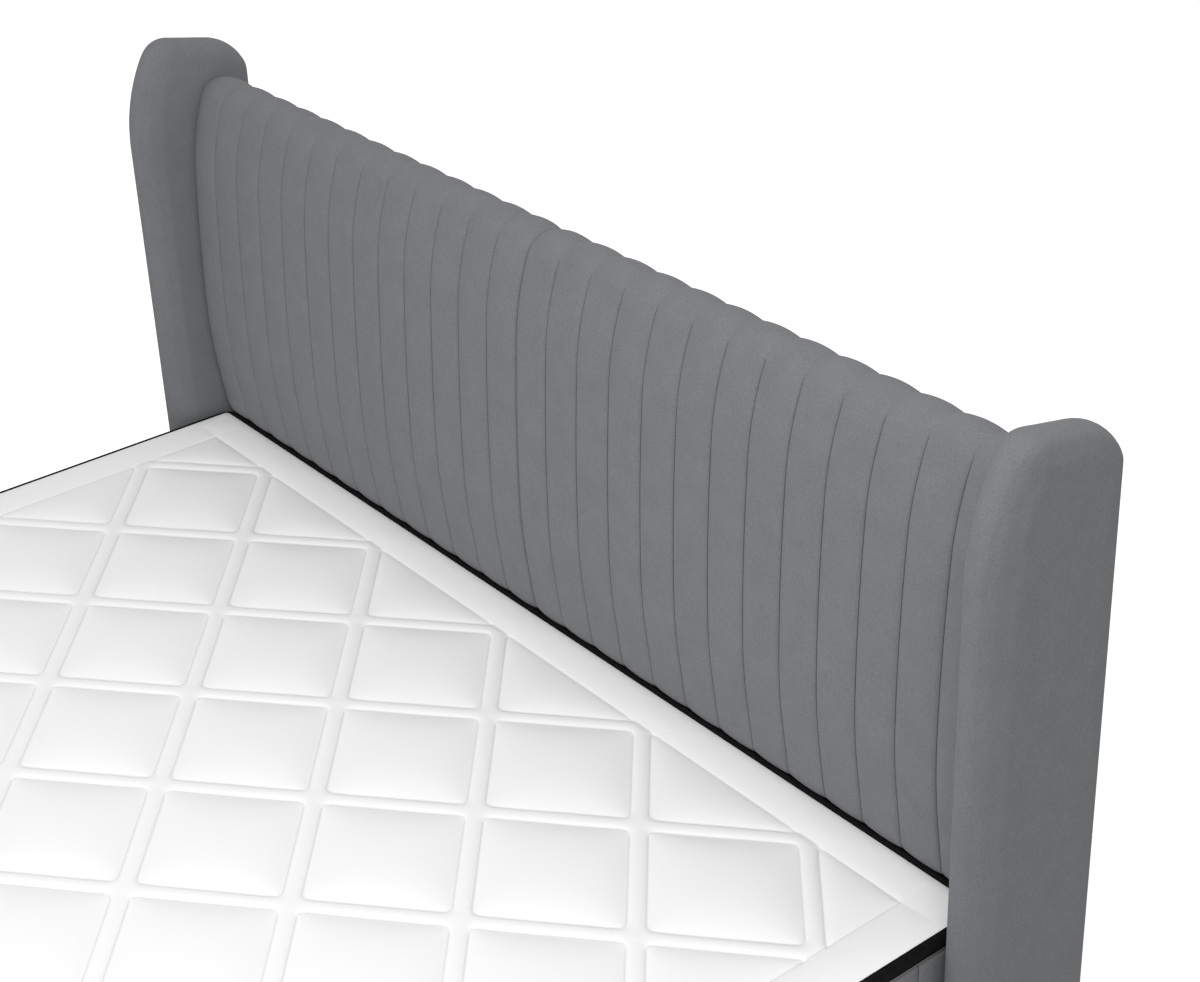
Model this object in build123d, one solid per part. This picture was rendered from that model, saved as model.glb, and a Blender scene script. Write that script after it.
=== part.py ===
from build123d import *
import math
import os

# Wingback bed with a channelled headboard, an upholstered box base and a quilted mattress.
# Millimetres. X runs across the bed, +Y points to the head end, +Z is up.
# The origin is on the floor, below the middle of the whole bed.

# Overall sizes
mattress_width = 1800
mattress_length = 2000
mattress_height = 240
base_height = 280
foot_height = 72
glide_height = 8
headboard_depth_behind_mattress = 112
side_gap = 2

# Channel stitching, shared by the headboard pads and the grey sides
channel_pitch = 68.5
side_channel_pitch = 70
side_end_channel = 59

# Headboard pads: depths are measured from the back of the headboard, heights from the mattress top
pad_belly_depth = 150
pad_belly_height = 250
pad_upper_depth = 137
pad_upper_height = 490
pad_shoulder_depth = 127
pad_shoulder_height = 555
pad_crest_depth = 70
pad_crest_height = 602
pad_nape_height = 566
pad_waist_depth = 136
pad_waist_height = 65
pad_tuck_depth = 111
pad_tuck_drop = 5
pad_hem_lift = 15
pad_drop = 100
pad_seam_depth = 6
pad_crest_seam_share = 0.5
pad_middle_seam_depth = 11
pad_end_seam_depth = 16
pad_end_gap = 0.3
foam_thickness = 38
foam_margin = 30
foam_top_margin = 25

# Headboard frame
cloth_thickness = 2
post_width = 40
post_depth = 50
top_rail_height = 60
bottom_rail_height = 60
bottom_rail_from_floor = 190
centre_post_width = 60
carrier_thickness = 12
frame_below_crest = 57

# Wings
wing_thickness = 56
wing_depth = 223
wing_crest_depth = 125
wing_crest_height = 671
wing_brow_depth = 180
wing_brow_drop = 23
wing_slope_depth = 60
wing_slope_drop = 14
wing_nape_drop = 68
wing_front_drop = 166
wing_nose = 41
wing_top_nose = 20
wing_back_nose = 11
wing_core_thickness = 26
wing_core_front_margin = 45
wing_core_top_margin = 50
wing_core_back_margin = 14
wing_section_shares = (-1, -0.86, -0.5, 0, 0.5, 0.86, 1)

# Box base
panel_thickness = 30
panel_seam_depth = 4
panel_edge_radius = 9
panel_lift = 3
rail_thickness = 18
corner_radius = 30
corner_block_width = 50
corner_block_height = 200
ledger_width = 30
ledger_height = 40
slat_count = 12
slat_width = 90
slat_thickness = 18
slat_end_gap = 3
slat_first_gap = 30
beam_width = 60
beam_height = 60
beam_bracket_thickness = 3
beam_bracket_length = 60
leg_width = 50
leg_place_shares = (-0.2, 0.2)
foot_waist = 54
glide_radius = 14

# Mattress
shoulder_width = 18
shoulder_height = 13
shoulder_radius = 12
shoulder_lip_height = 5
piping_diameter = 5
piping_notch = 7
white_corner_radius = 12
comfort_foam_thickness = 40
bottom_panel_thickness = 5
quilt_border = 63
quilt_repeats_across = 5
quilt_repeats_along = 6.5
quilt_band = 24
quilt_groove = 4
quilt_crown = 3
quilt_slope = 14

# Bolts
bolt_radius = 4
bolt_head_radius = 9
bolt_head_height = 4
bolt_clearance = 0.3
bolt_bite = 22
wing_bolt_heights = (300, 700, 1060)
headboard_bolt_place_shares = (-0.36, -0.17, 0.17, 0.36)

# Places worked out from the sizes above
half_width = mattress_width / 2
bed_length = mattress_length + headboard_depth_behind_mattress
back_y = bed_length / 2
mattress_head_y = back_y - headboard_depth_behind_mattress
mattress_foot_y = mattress_head_y - mattress_length
base_bottom = glide_height + foot_height
base_top = base_bottom + base_height
mattress_top = base_top + mattress_height
wing_inner_x = half_width + side_gap
wing_middle_x = wing_inner_x + wing_thickness / 2
wing_crest_z = mattress_top + wing_crest_height
frame_front_depth = cloth_thickness + post_depth
carrier_front_depth = frame_front_depth + carrier_thickness
base_head_y = back_y - carrier_front_depth
pad_bottom = mattress_top - pad_drop
frame_top = mattress_top + pad_crest_height - frame_below_crest
panel_inner_x = half_width - panel_thickness
rail_inner_x = panel_inner_x - rail_thickness
rail_foot_y = mattress_foot_y + panel_thickness
rail_foot_inner_y = rail_foot_y + rail_thickness
rail_head_inner_y = base_head_y - rail_thickness
slat_bottom = base_top - slat_thickness
beam_bottom = slat_bottom - beam_height
shoulder_bottom = mattress_top - shoulder_height
side_top = shoulder_bottom - shoulder_lip_height
post_inner_x = wing_inner_x - post_width


def block(x0, x1, y0, y1, z0, z1):
    """A box between two opposite corners."""
    middle = Pos((x0 + x1) / 2, (y0 + y1) / 2, (z0 + z1) / 2)
    return middle * Box(x1 - x0, y1 - y0, z1 - z0)


def plan_block(half_x, y0, y1, z0, z1, radius):
    """A block with its four upright corners rounded."""
    middle = Pos(0, (y0 + y1) / 2, z0)
    return middle * extrude(RectangleRounded(2 * half_x, y1 - y0, radius), z1 - z0)


def rod(start, axis, radius, length):
    """A round bar from a start point along an axis."""
    return Plane(origin=start, z_dir=axis) * extrude(Circle(radius), length)


def other_side(shape):
    """The same piece on the other side of the bed."""
    return mirror(shape, about=Plane.YZ)


def save(shape, name):
    """Write one sub-part."""
    export_step(shape, f"parts/{name}.step")


def save_pair(shape, name):
    """Write a piece of the +X side and its mirror image."""
    save(shape, f"{name}_right")
    save(other_side(shape), f"{name}_left")


# Headboard pads
def pad_section(x, inset):
    """The closed side outline of a pad at one place across it, drawn in by inset at front and top."""

    def at(depth, height):
        return Vector(x, back_y - depth, mattress_top + height)

    belly = at(pad_belly_depth - inset, pad_belly_height)
    upper = at(pad_upper_depth - inset, pad_upper_height)
    shoulder = at(pad_shoulder_depth - inset, pad_shoulder_height)
    sunk = pad_crest_seam_share * inset
    crest = at(pad_crest_depth, pad_crest_height - sunk)
    nape = at(cloth_thickness, pad_nape_height - sunk)
    waist = at(pad_waist_depth - inset, pad_waist_height)
    tuck = at(pad_tuck_depth - inset, -pad_tuck_drop)
    hem = at(carrier_front_depth, pad_hem_lift - pad_drop)
    to_upper = TangentArc(belly, upper, tangent=(0, 0, 1))
    to_shoulder = TangentArc(upper, shoulder, tangent=to_upper % 1)
    to_crest = TangentArc(shoulder, crest, tangent=to_shoulder % 1)
    to_nape = TangentArc(crest, nape, tangent=to_crest % 1)
    to_waist = TangentArc(belly, waist, tangent=(0, 0, -1))
    to_tuck = TangentArc(waist, tuck, tangent=to_waist % 1)
    to_hem = TangentArc(tuck, hem, tangent=to_tuck % 1)
    lip_corner = at(cloth_thickness, frame_top - mattress_top)
    step_corner = at(carrier_front_depth, frame_top - mattress_top)
    straight = Polyline(nape, lip_corner, step_corner, hem)
    curved = [to_waist, to_tuck, to_hem, to_upper, to_shoulder, to_crest, to_nape]
    return Face(Wire(curved + straight.edges()))


def headboard_pad():
    """The right-hand pad: channels side by side, each swelling between two seams, less its foam pocket."""
    count = round(wing_inner_x / channel_pitch)
    seams = [step * channel_pitch for step in range(count)]
    seams.append(wing_inner_x - pad_end_gap)
    insets = [pad_middle_seam_depth] + [pad_seam_depth] * (count - 1) + [pad_end_seam_depth]
    channels = []
    for step in range(count):
        low, high = seams[step], seams[step + 1]
        sections = [
            pad_section(low, insets[step]),
            pad_section((low + high) / 2, 0),
            pad_section(high, insets[step + 1]),
        ]
        channels.append(loft(sections))
    pad = channels[0].fuse(*channels[1:])
    return pad - pad_foam()


def pad_foam():
    """The foam slab that stands between the carrier board and the quilted cover."""
    x0 = foam_margin
    x1 = wing_inner_x - foam_margin
    y1 = back_y - carrier_front_depth
    return block(x0, x1, y1 - foam_thickness, y1, mattress_top, frame_top - foam_top_margin)


def pad_carrier():
    """The board that carries one pad."""
    y1 = back_y - frame_front_depth
    return block(0, wing_inner_x, y1 - carrier_thickness, y1, pad_bottom, frame_top)


# Wings
def wing_section(share):
    """The wing's side outline at one place in its thickness: share runs from -1, inner face, to 1."""
    swell = 1 - math.sqrt(1 - share * share)
    x = wing_middle_x + share * wing_thickness / 2

    def at(depth, z):
        return Vector(x, back_y - depth, z)

    front = wing_depth - wing_nose * swell
    drop = wing_top_nose * swell
    back = wing_back_nose * swell
    foot_back = at(back, glide_height)
    foot_front = at(front, glide_height)
    rise = at(front, wing_crest_z - wing_front_drop - drop)
    brow = at(wing_brow_depth - drop, wing_crest_z - wing_brow_drop - drop)
    crest = at(wing_crest_depth, wing_crest_z - drop)
    slope = at(wing_slope_depth, wing_crest_z - wing_slope_drop - drop)
    nape = at(back, wing_crest_z - wing_nape_drop - drop)
    to_brow = TangentArc(rise, brow, tangent=(0, 0, 1))
    to_crest = TangentArc(brow, crest, tangent=to_brow % 1)
    to_slope = Line(crest, slope)
    to_nape = TangentArc(slope, nape, tangent=to_slope % 1)
    sole = Line(foot_back, foot_front)
    front_edge = Line(foot_front, rise)
    back_edge = Line(nape, foot_back)
    return Face(Wire([sole, front_edge, to_brow, to_crest, to_slope, to_nape, back_edge]))


def wing_core():
    """The board inside the wing."""
    front = back_y - wing_depth + wing_core_front_margin
    back = back_y - wing_core_back_margin
    top = wing_crest_z - wing_slope_drop - wing_core_top_margin
    cut = wing_crest_z - wing_front_drop
    chamfer_y = back_y - wing_brow_depth + wing_core_front_margin
    outline = Polyline(
        (front, glide_height),
        (front, cut),
        (chamfer_y, top),
        (back - wing_core_back_margin, top),
        (back, cut),
        (back, glide_height),
        close=True,
    )
    x0 = wing_middle_x - wing_core_thickness / 2
    side = Plane(origin=(x0, 0, 0), x_dir=(0, 1, 0), z_dir=(1, 0, 0))
    return side * extrude(make_face(outline), wing_core_thickness)


def wing_bolt_points():
    """Start point of each right-hand wing bolt, under its head, on the post's inner face."""
    y = back_y - cloth_thickness - post_depth / 2
    return [(post_inner_x, y, z) for z in wing_bolt_heights]


def wing_bolt_length():
    """From under the head to a bite into the wing board."""
    return wing_middle_x - wing_core_thickness / 2 - post_inner_x + bolt_bite


def bolt(start, axis, length):
    """A flat-headed bolt whose head seats at the start point."""
    head_start = Vector(*start) - Vector(*axis) * bolt_head_height
    head = rod(head_start, axis, bolt_head_radius, bolt_head_height)
    return head + rod(start, axis, bolt_radius, length)


def bolt_hole(start, axis, length):
    """The clearance hole for one bolt, a little longer than its shank."""
    return rod(start, axis, bolt_radius + bolt_clearance, length + bolt_clearance)


def wing_holes():
    """The holes that the right-hand wing bolts pass through."""
    length = wing_bolt_length()
    return [bolt_hole(point, (1, 0, 0), length) for point in wing_bolt_points()]


def cut_all(shape, tools):
    """A shape with several holes in it."""
    for tool in tools:
        shape = shape - tool
    return shape


def wing_cover(core):
    """The padded sleeve of the wing, round its board."""
    sleeve = loft([wing_section(share) for share in wing_section_shares])
    return cut_all(sleeve - core, wing_holes())


# Headboard frame
def headboard_bolt_points():
    """Start point of each bolt between base and headboard, under its head, inside the base."""
    z = bottom_rail_from_floor + bottom_rail_height / 2
    return [(share * mattress_width, rail_head_inner_y, z) for share in headboard_bolt_place_shares]


def headboard_bolt_length():
    """From inside the base through the panel to a bite into the bottom rail."""
    return rail_thickness + carrier_thickness + bolt_bite


def headboard_holes():
    """The holes for the bolts between base and headboard."""
    length = headboard_bolt_length()
    return [bolt_hole(point, (0, 1, 0), length) for point in headboard_bolt_points()]


def build_headboard():
    """Write the headboard's frame, pads, wings and bolts."""
    back = back_y - cloth_thickness
    front = back_y - frame_front_depth
    post = block(post_inner_x, wing_inner_x, front, back, glide_height, frame_top)
    save_pair(cut_all(post, wing_holes()), "headboard_post")
    rail_top = bottom_rail_from_floor + bottom_rail_height
    top_rail_bottom = frame_top - top_rail_height
    half_post = centre_post_width / 2
    centre = block(-half_post, half_post, front, back, rail_top, top_rail_bottom)
    save(centre, "headboard_post_centre")
    save(block(-post_inner_x, post_inner_x, front, back, top_rail_bottom, frame_top), "headboard_top_rail")
    low_rail = block(-post_inner_x, post_inner_x, front, back, bottom_rail_from_floor, rail_top)
    save(cut_all(low_rail, headboard_holes()), "headboard_bottom_rail")
    panel = block(-wing_inner_x, wing_inner_x, base_head_y, front, glide_height, pad_bottom)
    save(cut_all(panel, headboard_holes()), "headboard_lower_panel")
    cloth = block(-wing_inner_x, wing_inner_x, back, back_y, glide_height, frame_top)
    save(cloth, "headboard_back_cloth")
    save_pair(pad_carrier(), "headboard_carrier")
    save_pair(pad_foam(), "headboard_foam")
    save_pair(headboard_pad(), "headboard_pad")
    core = wing_core()
    save_pair(wing_cover(core), "wing_cover")
    save_pair(cut_all(core, wing_holes()), "wing_core")
    wing_bolts = [bolt(point, (1, 0, 0), wing_bolt_length()) for point in wing_bolt_points()]
    wing_bolts += [other_side(one) for one in wing_bolts]
    save(Compound(children=wing_bolts), "wing_bolts")
    length = headboard_bolt_length()
    bolts = [bolt(point, (0, 1, 0), length) for point in headboard_bolt_points()]
    save(Compound(children=bolts), "headboard_bolts")


# Padded, channelled sides of base and mattress
def side_section(x, inset, height):
    """The end outline of a padded side that faces -Y, with its back at y 0 and its foot at z 0."""
    front = inset - panel_thickness
    radius = panel_edge_radius
    low = TangentArc((x, front + radius, 0), (x, front, radius), tangent=(0, -1, 0))
    high = TangentArc((x, front, height - radius), (x, front + radius, height), tangent=(0, 0, 1))
    face_line = Line(low @ 1, high @ 0)
    rest = Polyline(high @ 1, (x, 0, height), (x, 0, 0), low @ 0)
    return Face(Wire([low, face_line, high] + rest.edges()))


def side_strip(length, height):
    """A padded side of some length, centred on x 0, with a crown between every two seams."""
    count = round((length - 2 * side_end_channel) / side_channel_pitch)
    pitch = (length - 2 * side_end_channel) / count
    first = -length / 2
    seams = [first] + [first + side_end_channel + step * pitch for step in range(count + 1)]
    seams.append(length / 2)
    channels = []
    for low, high in zip(seams, seams[1:]):
        outer_low = 0 if low == first else panel_seam_depth
        outer_high = 0 if high == seams[-1] else panel_seam_depth
        middle = (low + high) / 2
        sections = [
            side_section(low, outer_low, height),
            side_section(middle, 0, height),
            side_section(high, outer_high, height),
        ]
        channels.append(loft(sections))
    return channels[0].fuse(*channels[1:])


def long_side(y0, y1, z0, height):
    """The +X side between two places along the bed, with its ends turned round the corners."""
    strip = Rot(0, 0, 90) * side_strip(y1 - y0, height)
    placed = Pos(panel_inner_x, (y0 + y1) / 2, z0) * strip
    return placed & plan_block(half_width, y0, y1, z0, z0 + height, corner_radius)


def foot_side(y0, y1, z0, height):
    """The foot side, between the two long sides."""
    strip = Pos(0, rail_foot_y, z0) * side_strip(mattress_width, height)
    between = block(-panel_inner_x, panel_inner_x, y0, rail_foot_y, z0, z0 + height)
    return strip & between & plan_block(half_width, y0, y1, z0, z0 + height, corner_radius)


# Box base
def build_base():
    """Write the upholstered box, its slats, beam, legs, feet and glides."""
    height = base_height - panel_lift
    save_pair(long_side(mattress_foot_y, base_head_y, base_bottom, height), "base_panel")
    save(foot_side(mattress_foot_y, base_head_y, base_bottom, height), "base_panel_foot")
    rail = block(rail_inner_x, panel_inner_x, rail_foot_y, base_head_y, base_bottom, base_top)
    save_pair(rail, "base_rail")
    foot = block(-rail_inner_x, rail_inner_x, rail_foot_y, rail_foot_inner_y, base_bottom, base_top)
    save(foot, "base_rail_foot")
    head = block(-rail_inner_x, rail_inner_x, rail_head_inner_y, base_head_y, base_bottom, base_top)
    save(cut_all(head, headboard_holes()), "base_rail_head")
    build_base_inside()
    build_feet()


def build_base_inside():
    """Write the ledgers, blocks, slats, beam and legs inside the box."""
    ledger_x = rail_inner_x - ledger_width
    ledger_bottom = slat_bottom - ledger_height
    ledger = block(ledger_x, rail_inner_x, rail_foot_inner_y, rail_head_inner_y, ledger_bottom, slat_bottom)
    save_pair(ledger, "ledger")
    block_x = rail_inner_x - corner_block_width
    block_top = base_bottom + corner_block_height
    blocks = []
    for y0 in (rail_foot_inner_y, rail_head_inner_y - corner_block_width):
        one = block(block_x, rail_inner_x, y0, y0 + corner_block_width, base_bottom, block_top)
        blocks += [one, other_side(one)]
    save(Compound(children=blocks), "corner_blocks")
    slat_half = rail_inner_x - slat_end_gap
    first = rail_foot_inner_y + slat_first_gap
    last = rail_head_inner_y - slat_first_gap - slat_width
    pitch = (last - first) / (slat_count - 1)
    for number in range(slat_count):
        y0 = first + number * pitch
        slat = block(-slat_half, slat_half, y0, y0 + slat_width, slat_bottom, base_top)
        save(slat, f"slat_{number + 1:02d}")
    half_beam = beam_width / 2
    beam_foot_y = rail_foot_inner_y + beam_bracket_thickness
    beam_head_y = rail_head_inner_y - beam_bracket_thickness
    beam = block(-half_beam, half_beam, beam_foot_y, beam_head_y, beam_bottom, slat_bottom)
    save(beam, "centre_beam")
    bracket = beam_bracket(rail_foot_inner_y)
    middle_y = (rail_foot_inner_y + rail_head_inner_y) / 2
    far = mirror(bracket, about=Plane(origin=(0, middle_y, 0), z_dir=(0, 1, 0)))
    save(Compound(children=[bracket, far]), "beam_brackets")
    half_leg = leg_width / 2
    legs = []
    for share in leg_place_shares:
        y = share * bed_length
        leg = block(-half_leg, half_leg, y - half_leg, y + half_leg, glide_height, beam_bottom)
        legs.append(leg)
    save(Compound(children=legs), "centre_legs")


def beam_bracket(y0):
    """A steel hanger at the foot rail: a back plate with a shoe that the beam lies in."""
    half_beam = beam_width / 2
    wall = beam_bracket_thickness
    outer = block(
        -half_beam - wall,
        half_beam + wall,
        y0,
        y0 + beam_bracket_length,
        beam_bottom - wall,
        slat_bottom - wall,
    )
    seat = block(-half_beam, half_beam, y0 + wall, y0 + bed_length, beam_bottom, slat_bottom)
    return outer - seat


def foot_places():
    """The middle of each corner foot."""
    half_foot = (rail_thickness + corner_block_width) / 2
    x = panel_inner_x - half_foot
    foot_y = rail_foot_y + half_foot
    head_y = base_head_y - half_foot
    return {
        "foot_front_right": (x, foot_y),
        "foot_front_left": (-x, foot_y),
        "foot_back_right": (x, head_y),
        "foot_back_left": (-x, head_y),
    }


def build_feet():
    """Write the tapered block feet and all the glides."""
    top_width = rail_thickness + corner_block_width
    glide_places = []
    for name, (x, y) in foot_places().items():
        low = Pos(x, y, glide_height) * Rectangle(foot_waist, foot_waist)
        high = Pos(x, y, base_bottom) * Rectangle(top_width, top_width)
        save(loft([low.face(), high.face()]), name)
        glide_places.append((x, y))
    for share in leg_place_shares:
        glide_places.append((0, share * bed_length))
    post_y = back_y - cloth_thickness - post_depth / 2
    post_x = (post_inner_x + wing_inner_x) / 2
    wing_front_y = back_y - wing_depth + wing_core_front_margin + glide_radius
    wing_back_y = back_y - wing_core_back_margin - glide_radius
    for side in (1, -1):
        glide_places.append((side * post_x, post_y))
        glide_places.append((side * wing_middle_x, wing_front_y))
        glide_places.append((side * wing_middle_x, wing_back_y))
    glides = [rod((x, y, 0), (0, 0, 1), glide_radius, glide_height) for x, y in glide_places]
    save(Compound(children=glides), "floor_glides")


# Mattress
def quilt_cells(x_half, y_head, y_foot):
    """The diamonds of the quilt, less half a band all round, cut off at the border seam."""
    across = 2 * x_half / quilt_repeats_across
    along = (y_head - y_foot) / quilt_repeats_along
    side = math.hypot(across, along) / 2
    spacing = across * along / 2 / side
    share = 1 - quilt_band / spacing
    field = Pos(0, (y_head + y_foot) / 2) * Rectangle(2 * x_half, y_head - y_foot)
    cells = []
    for row in range(math.ceil(2 * quilt_repeats_along) + 1):
        for column in range(-quilt_repeats_across, quilt_repeats_across + 1):
            if (row + column) % 2 == 0:
                continue
            x, y = column * across / 2, y_head - row * along / 2
            rx, ry = share * across / 2, share * along / 2
            corners = [(x + rx, y), (x, y + ry), (x - rx, y), (x, y - ry)]
            diamond = make_face(Polyline(*corners, close=True))
            cells += (diamond & field).faces()
    return cells


def mattress_top_panel():
    """The white quilted panel: every diamond lies in a stitched groove and rises to a crown."""
    half_x = half_width - shoulder_width
    y0 = mattress_foot_y + shoulder_width
    y1 = mattress_head_y - shoulder_width
    panel = plan_block(half_x, y0, y1, side_top, mattress_top, white_corner_radius)
    cells = quilt_cells(half_x - quilt_border, y1 - quilt_border, y0 + quilt_border)
    floor = mattress_top - quilt_groove
    grooves = [Pos(0, 0, floor) * extrude(cell, quilt_groove) for cell in cells]
    rise = quilt_groove + quilt_crown
    angle = math.degrees(math.atan(quilt_slope / rise))
    crowns = [Pos(0, 0, floor) * extrude(cell, rise, taper=angle) for cell in cells]
    return panel.cut(*grooves).fuse(*crowns)


def mattress_shoulder():
    """The black band that rounds the top edge, with a lip that leaves a notch for the piping."""
    y0, y1 = mattress_foot_y, mattress_head_y
    band = plan_block(half_width, y0, y1, shoulder_bottom, mattress_top, corner_radius)
    band = fillet(band.faces().sort_by(Axis.Z)[-1].edges(), shoulder_radius)
    lip = plan_block(
        half_width - piping_notch,
        y0 + piping_notch,
        y1 - piping_notch,
        side_top,
        shoulder_bottom,
        corner_radius - piping_notch,
    )
    hole = plan_block(
        half_width - shoulder_width,
        y0 + shoulder_width,
        y1 - shoulder_width,
        side_top,
        mattress_top,
        white_corner_radius,
    )
    return band + lip - hole


def mattress_piping():
    """The thin cord that lies in the notch under the shoulder, once round the mattress."""
    radius = piping_diameter / 2
    z = side_top + radius
    width = mattress_width - piping_diameter
    length = mattress_length - piping_diameter
    middle_y = (mattress_foot_y + mattress_head_y) / 2
    loop = RectangleRounded(width, length, corner_radius - radius).face().outer_wire()
    path = Pos(0, middle_y, z) * loop
    start = path @ 0
    section = Plane(origin=start, z_dir=path % 0) * Circle(radius)
    return sweep(section, path=path)


def build_mattress():
    """Write the mattress from its bottom cloth to its piping."""
    inner_x = panel_inner_x
    head_inner_y = mattress_head_y - panel_thickness
    side_bottom = base_top + bottom_panel_thickness
    height = side_top - side_bottom
    foam_bottom = side_top - comfort_foam_thickness
    save(mattress_top_panel(), "mattress_top_panel")
    save(mattress_shoulder(), "mattress_shoulder")
    save(mattress_piping(), "mattress_piping")
    save_pair(long_side(mattress_foot_y, mattress_head_y, side_bottom, height), "mattress_side")
    save(foot_side(mattress_foot_y, mattress_head_y, side_bottom, height), "mattress_side_foot")
    head = block(-inner_x, inner_x, head_inner_y, mattress_head_y, side_bottom, side_top)
    plan = plan_block(half_width, mattress_foot_y, mattress_head_y, side_bottom, side_top, corner_radius)
    save(head & plan, "mattress_side_head")
    foam = block(-inner_x, inner_x, rail_foot_y, head_inner_y, foam_bottom, side_top)
    save(foam, "mattress_comfort_foam")
    core = block(-inner_x, inner_x, rail_foot_y, head_inner_y, side_bottom, foam_bottom)
    save(core, "mattress_spring_core")
    bottom = plan_block(
        half_width - panel_seam_depth,
        mattress_foot_y + panel_seam_depth,
        mattress_head_y - panel_seam_depth,
        base_top,
        side_bottom,
        corner_radius - panel_seam_depth,
    )
    save(bottom, "mattress_bottom_panel")


os.makedirs("parts", exist_ok=True)
build_headboard()
build_base()
build_mattress()
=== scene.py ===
"""Looks of a wingback bed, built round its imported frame.

Metres, in the frame's own axes: X runs across the bed, +Y points to the head end, +Z is up.
The padded pieces are swept or grown from a few vertices, sewn down and puffed out as cloth.
"""

import logging
import math
from dataclasses import dataclass, field
from enum import Enum
from typing import Callable, Iterable, Sequence

import bmesh
import bpy
from mathutils import Matrix, Vector

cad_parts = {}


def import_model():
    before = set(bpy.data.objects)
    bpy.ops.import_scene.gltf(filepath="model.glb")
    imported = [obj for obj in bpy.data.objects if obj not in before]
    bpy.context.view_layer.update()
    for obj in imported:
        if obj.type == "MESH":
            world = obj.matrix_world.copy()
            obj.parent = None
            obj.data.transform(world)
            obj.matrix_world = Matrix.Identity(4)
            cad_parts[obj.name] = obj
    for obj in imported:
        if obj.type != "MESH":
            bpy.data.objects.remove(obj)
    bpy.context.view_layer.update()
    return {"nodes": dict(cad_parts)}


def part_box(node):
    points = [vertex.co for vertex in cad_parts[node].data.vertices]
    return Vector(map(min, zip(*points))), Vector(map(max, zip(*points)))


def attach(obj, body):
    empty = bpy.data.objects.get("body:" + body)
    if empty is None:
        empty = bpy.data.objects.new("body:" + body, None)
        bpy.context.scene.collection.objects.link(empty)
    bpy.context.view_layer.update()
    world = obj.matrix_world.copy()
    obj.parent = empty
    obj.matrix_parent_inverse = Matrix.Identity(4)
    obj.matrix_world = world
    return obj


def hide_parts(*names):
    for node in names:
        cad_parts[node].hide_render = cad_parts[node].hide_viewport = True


log = logging.getLogger("wingback_bed")

PICTURE_WIDTH = 1200
PICTURE_HEIGHT = 982
BODY = "root"
ACROSS = Vector((1, 0, 0))
UP = Vector((0, 0, 1))
QUARTER = math.pi / 2

# Points this close, in metres, are one point, or lie on a cut
WELD = 1e-5
TOUCH = 1e-6

# A vertex is sewn above this nearness to a seam, and stiff below this give
ON_SEAM = 0.9
STIFF = 0.5


class Side(Enum):
    """The two long sides of the bed, by the sign of X."""

    LEFT = -1
    RIGHT = 1

    @property
    def word(self) -> str:
        """The side as the nodes' names have it."""
        return self.name.lower()


class Tag(Enum):
    """Names of the number layers that the meshes carry."""

    STATION = "station"
    GIVE = "give"
    CREST = "crest"
    SEWN = "sewn"
    SEAM = "seam"


# Nodes and finishes
Socket = bpy.types.NodeSocket
Value = float | Sequence[float] | Socket
Colour = tuple[float, float, float]
Span = tuple[float, float]


@dataclass(frozen=True)
class Noise:
    """A soft random pattern: its patches to a metre, and how fine its detail goes."""

    scale: float
    detail: float = 2.0


@dataclass(frozen=True)
class Relief:
    """A fine relief: how strongly it shades, and its depth in metres."""

    strength: float
    depth: float


class Nodes:
    """Adds nodes to one node tree and joins them up."""

    def __init__(self, tree: bpy.types.NodeTree) -> None:
        """Keep the tree at hand."""
        self.tree = tree

    def add(self, kind: str, settings: dict | None = None, **sockets: Value) -> bpy.types.Node:
        """Add a node, set its options and fill its sockets.

        Args:
            kind: The node's type name.
            settings: Options of the node, by attribute name.
            sockets: Values or other nodes' outputs, by socket name, with _ for a space.

        Returns:
            The new node.
        """
        node = self.tree.nodes.new(kind)
        for key, value in (settings or {}).items():
            setattr(node, key, value)
        for key, value in sockets.items():
            self.fill(node.inputs[key.replace("_", " ")], value)
        return node

    def fill(self, socket: Socket, value: Value) -> None:
        """Link an output to a socket, or set the socket's own value.

        Args:
            socket: The socket.
            value: The output or the value.
        """
        if isinstance(value, Socket):
            self.tree.links.new(value, socket)
        else:
            socket.default_value = value

    def math(self, operation: str, first: Value, second: Value = 0.0) -> Socket:
        """Do one sum on two values.

        Args:
            operation: The sum's name in capitals.
            first: The first value.
            second: The second value, if the sum takes one.

        Returns:
            The result.
        """
        node = self.add("ShaderNodeMath", {"operation": operation})
        self.fill(node.inputs[0], first)
        self.fill(node.inputs[1], second)
        return node.outputs[0]

    def span(
        self, value: Socket, low: float, high: float, out_low: float = 0.0, out_high: float = 1.0
    ) -> Socket:
        """Stretch a range of a value to another range, and hold it there.

        Args:
            value: The value.
            low: The range's start.
            high: The range's end.
            out_low: What the start becomes.
            out_high: What the end becomes.

        Returns:
            The stretched value.
        """
        limits = {"From_Min": low, "From_Max": high, "To_Min": out_low, "To_Max": out_high}
        return self.add("ShaderNodeMapRange", Value=value, **limits).outputs["Result"]

    def seen(self) -> Socket:
        """Find the rays that show the ground itself.

        Returns:
            1 on rays from the camera, a gloss or a clear part, and 0 on others.
        """
        path = self.add("ShaderNodeLightPath")
        total = path.outputs["Is Camera Ray"]
        for name in ("Is Glossy Ray", "Is Transmission Ray"):
            total = self.math("MAXIMUM", total, path.outputs[name])
        return total


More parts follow.
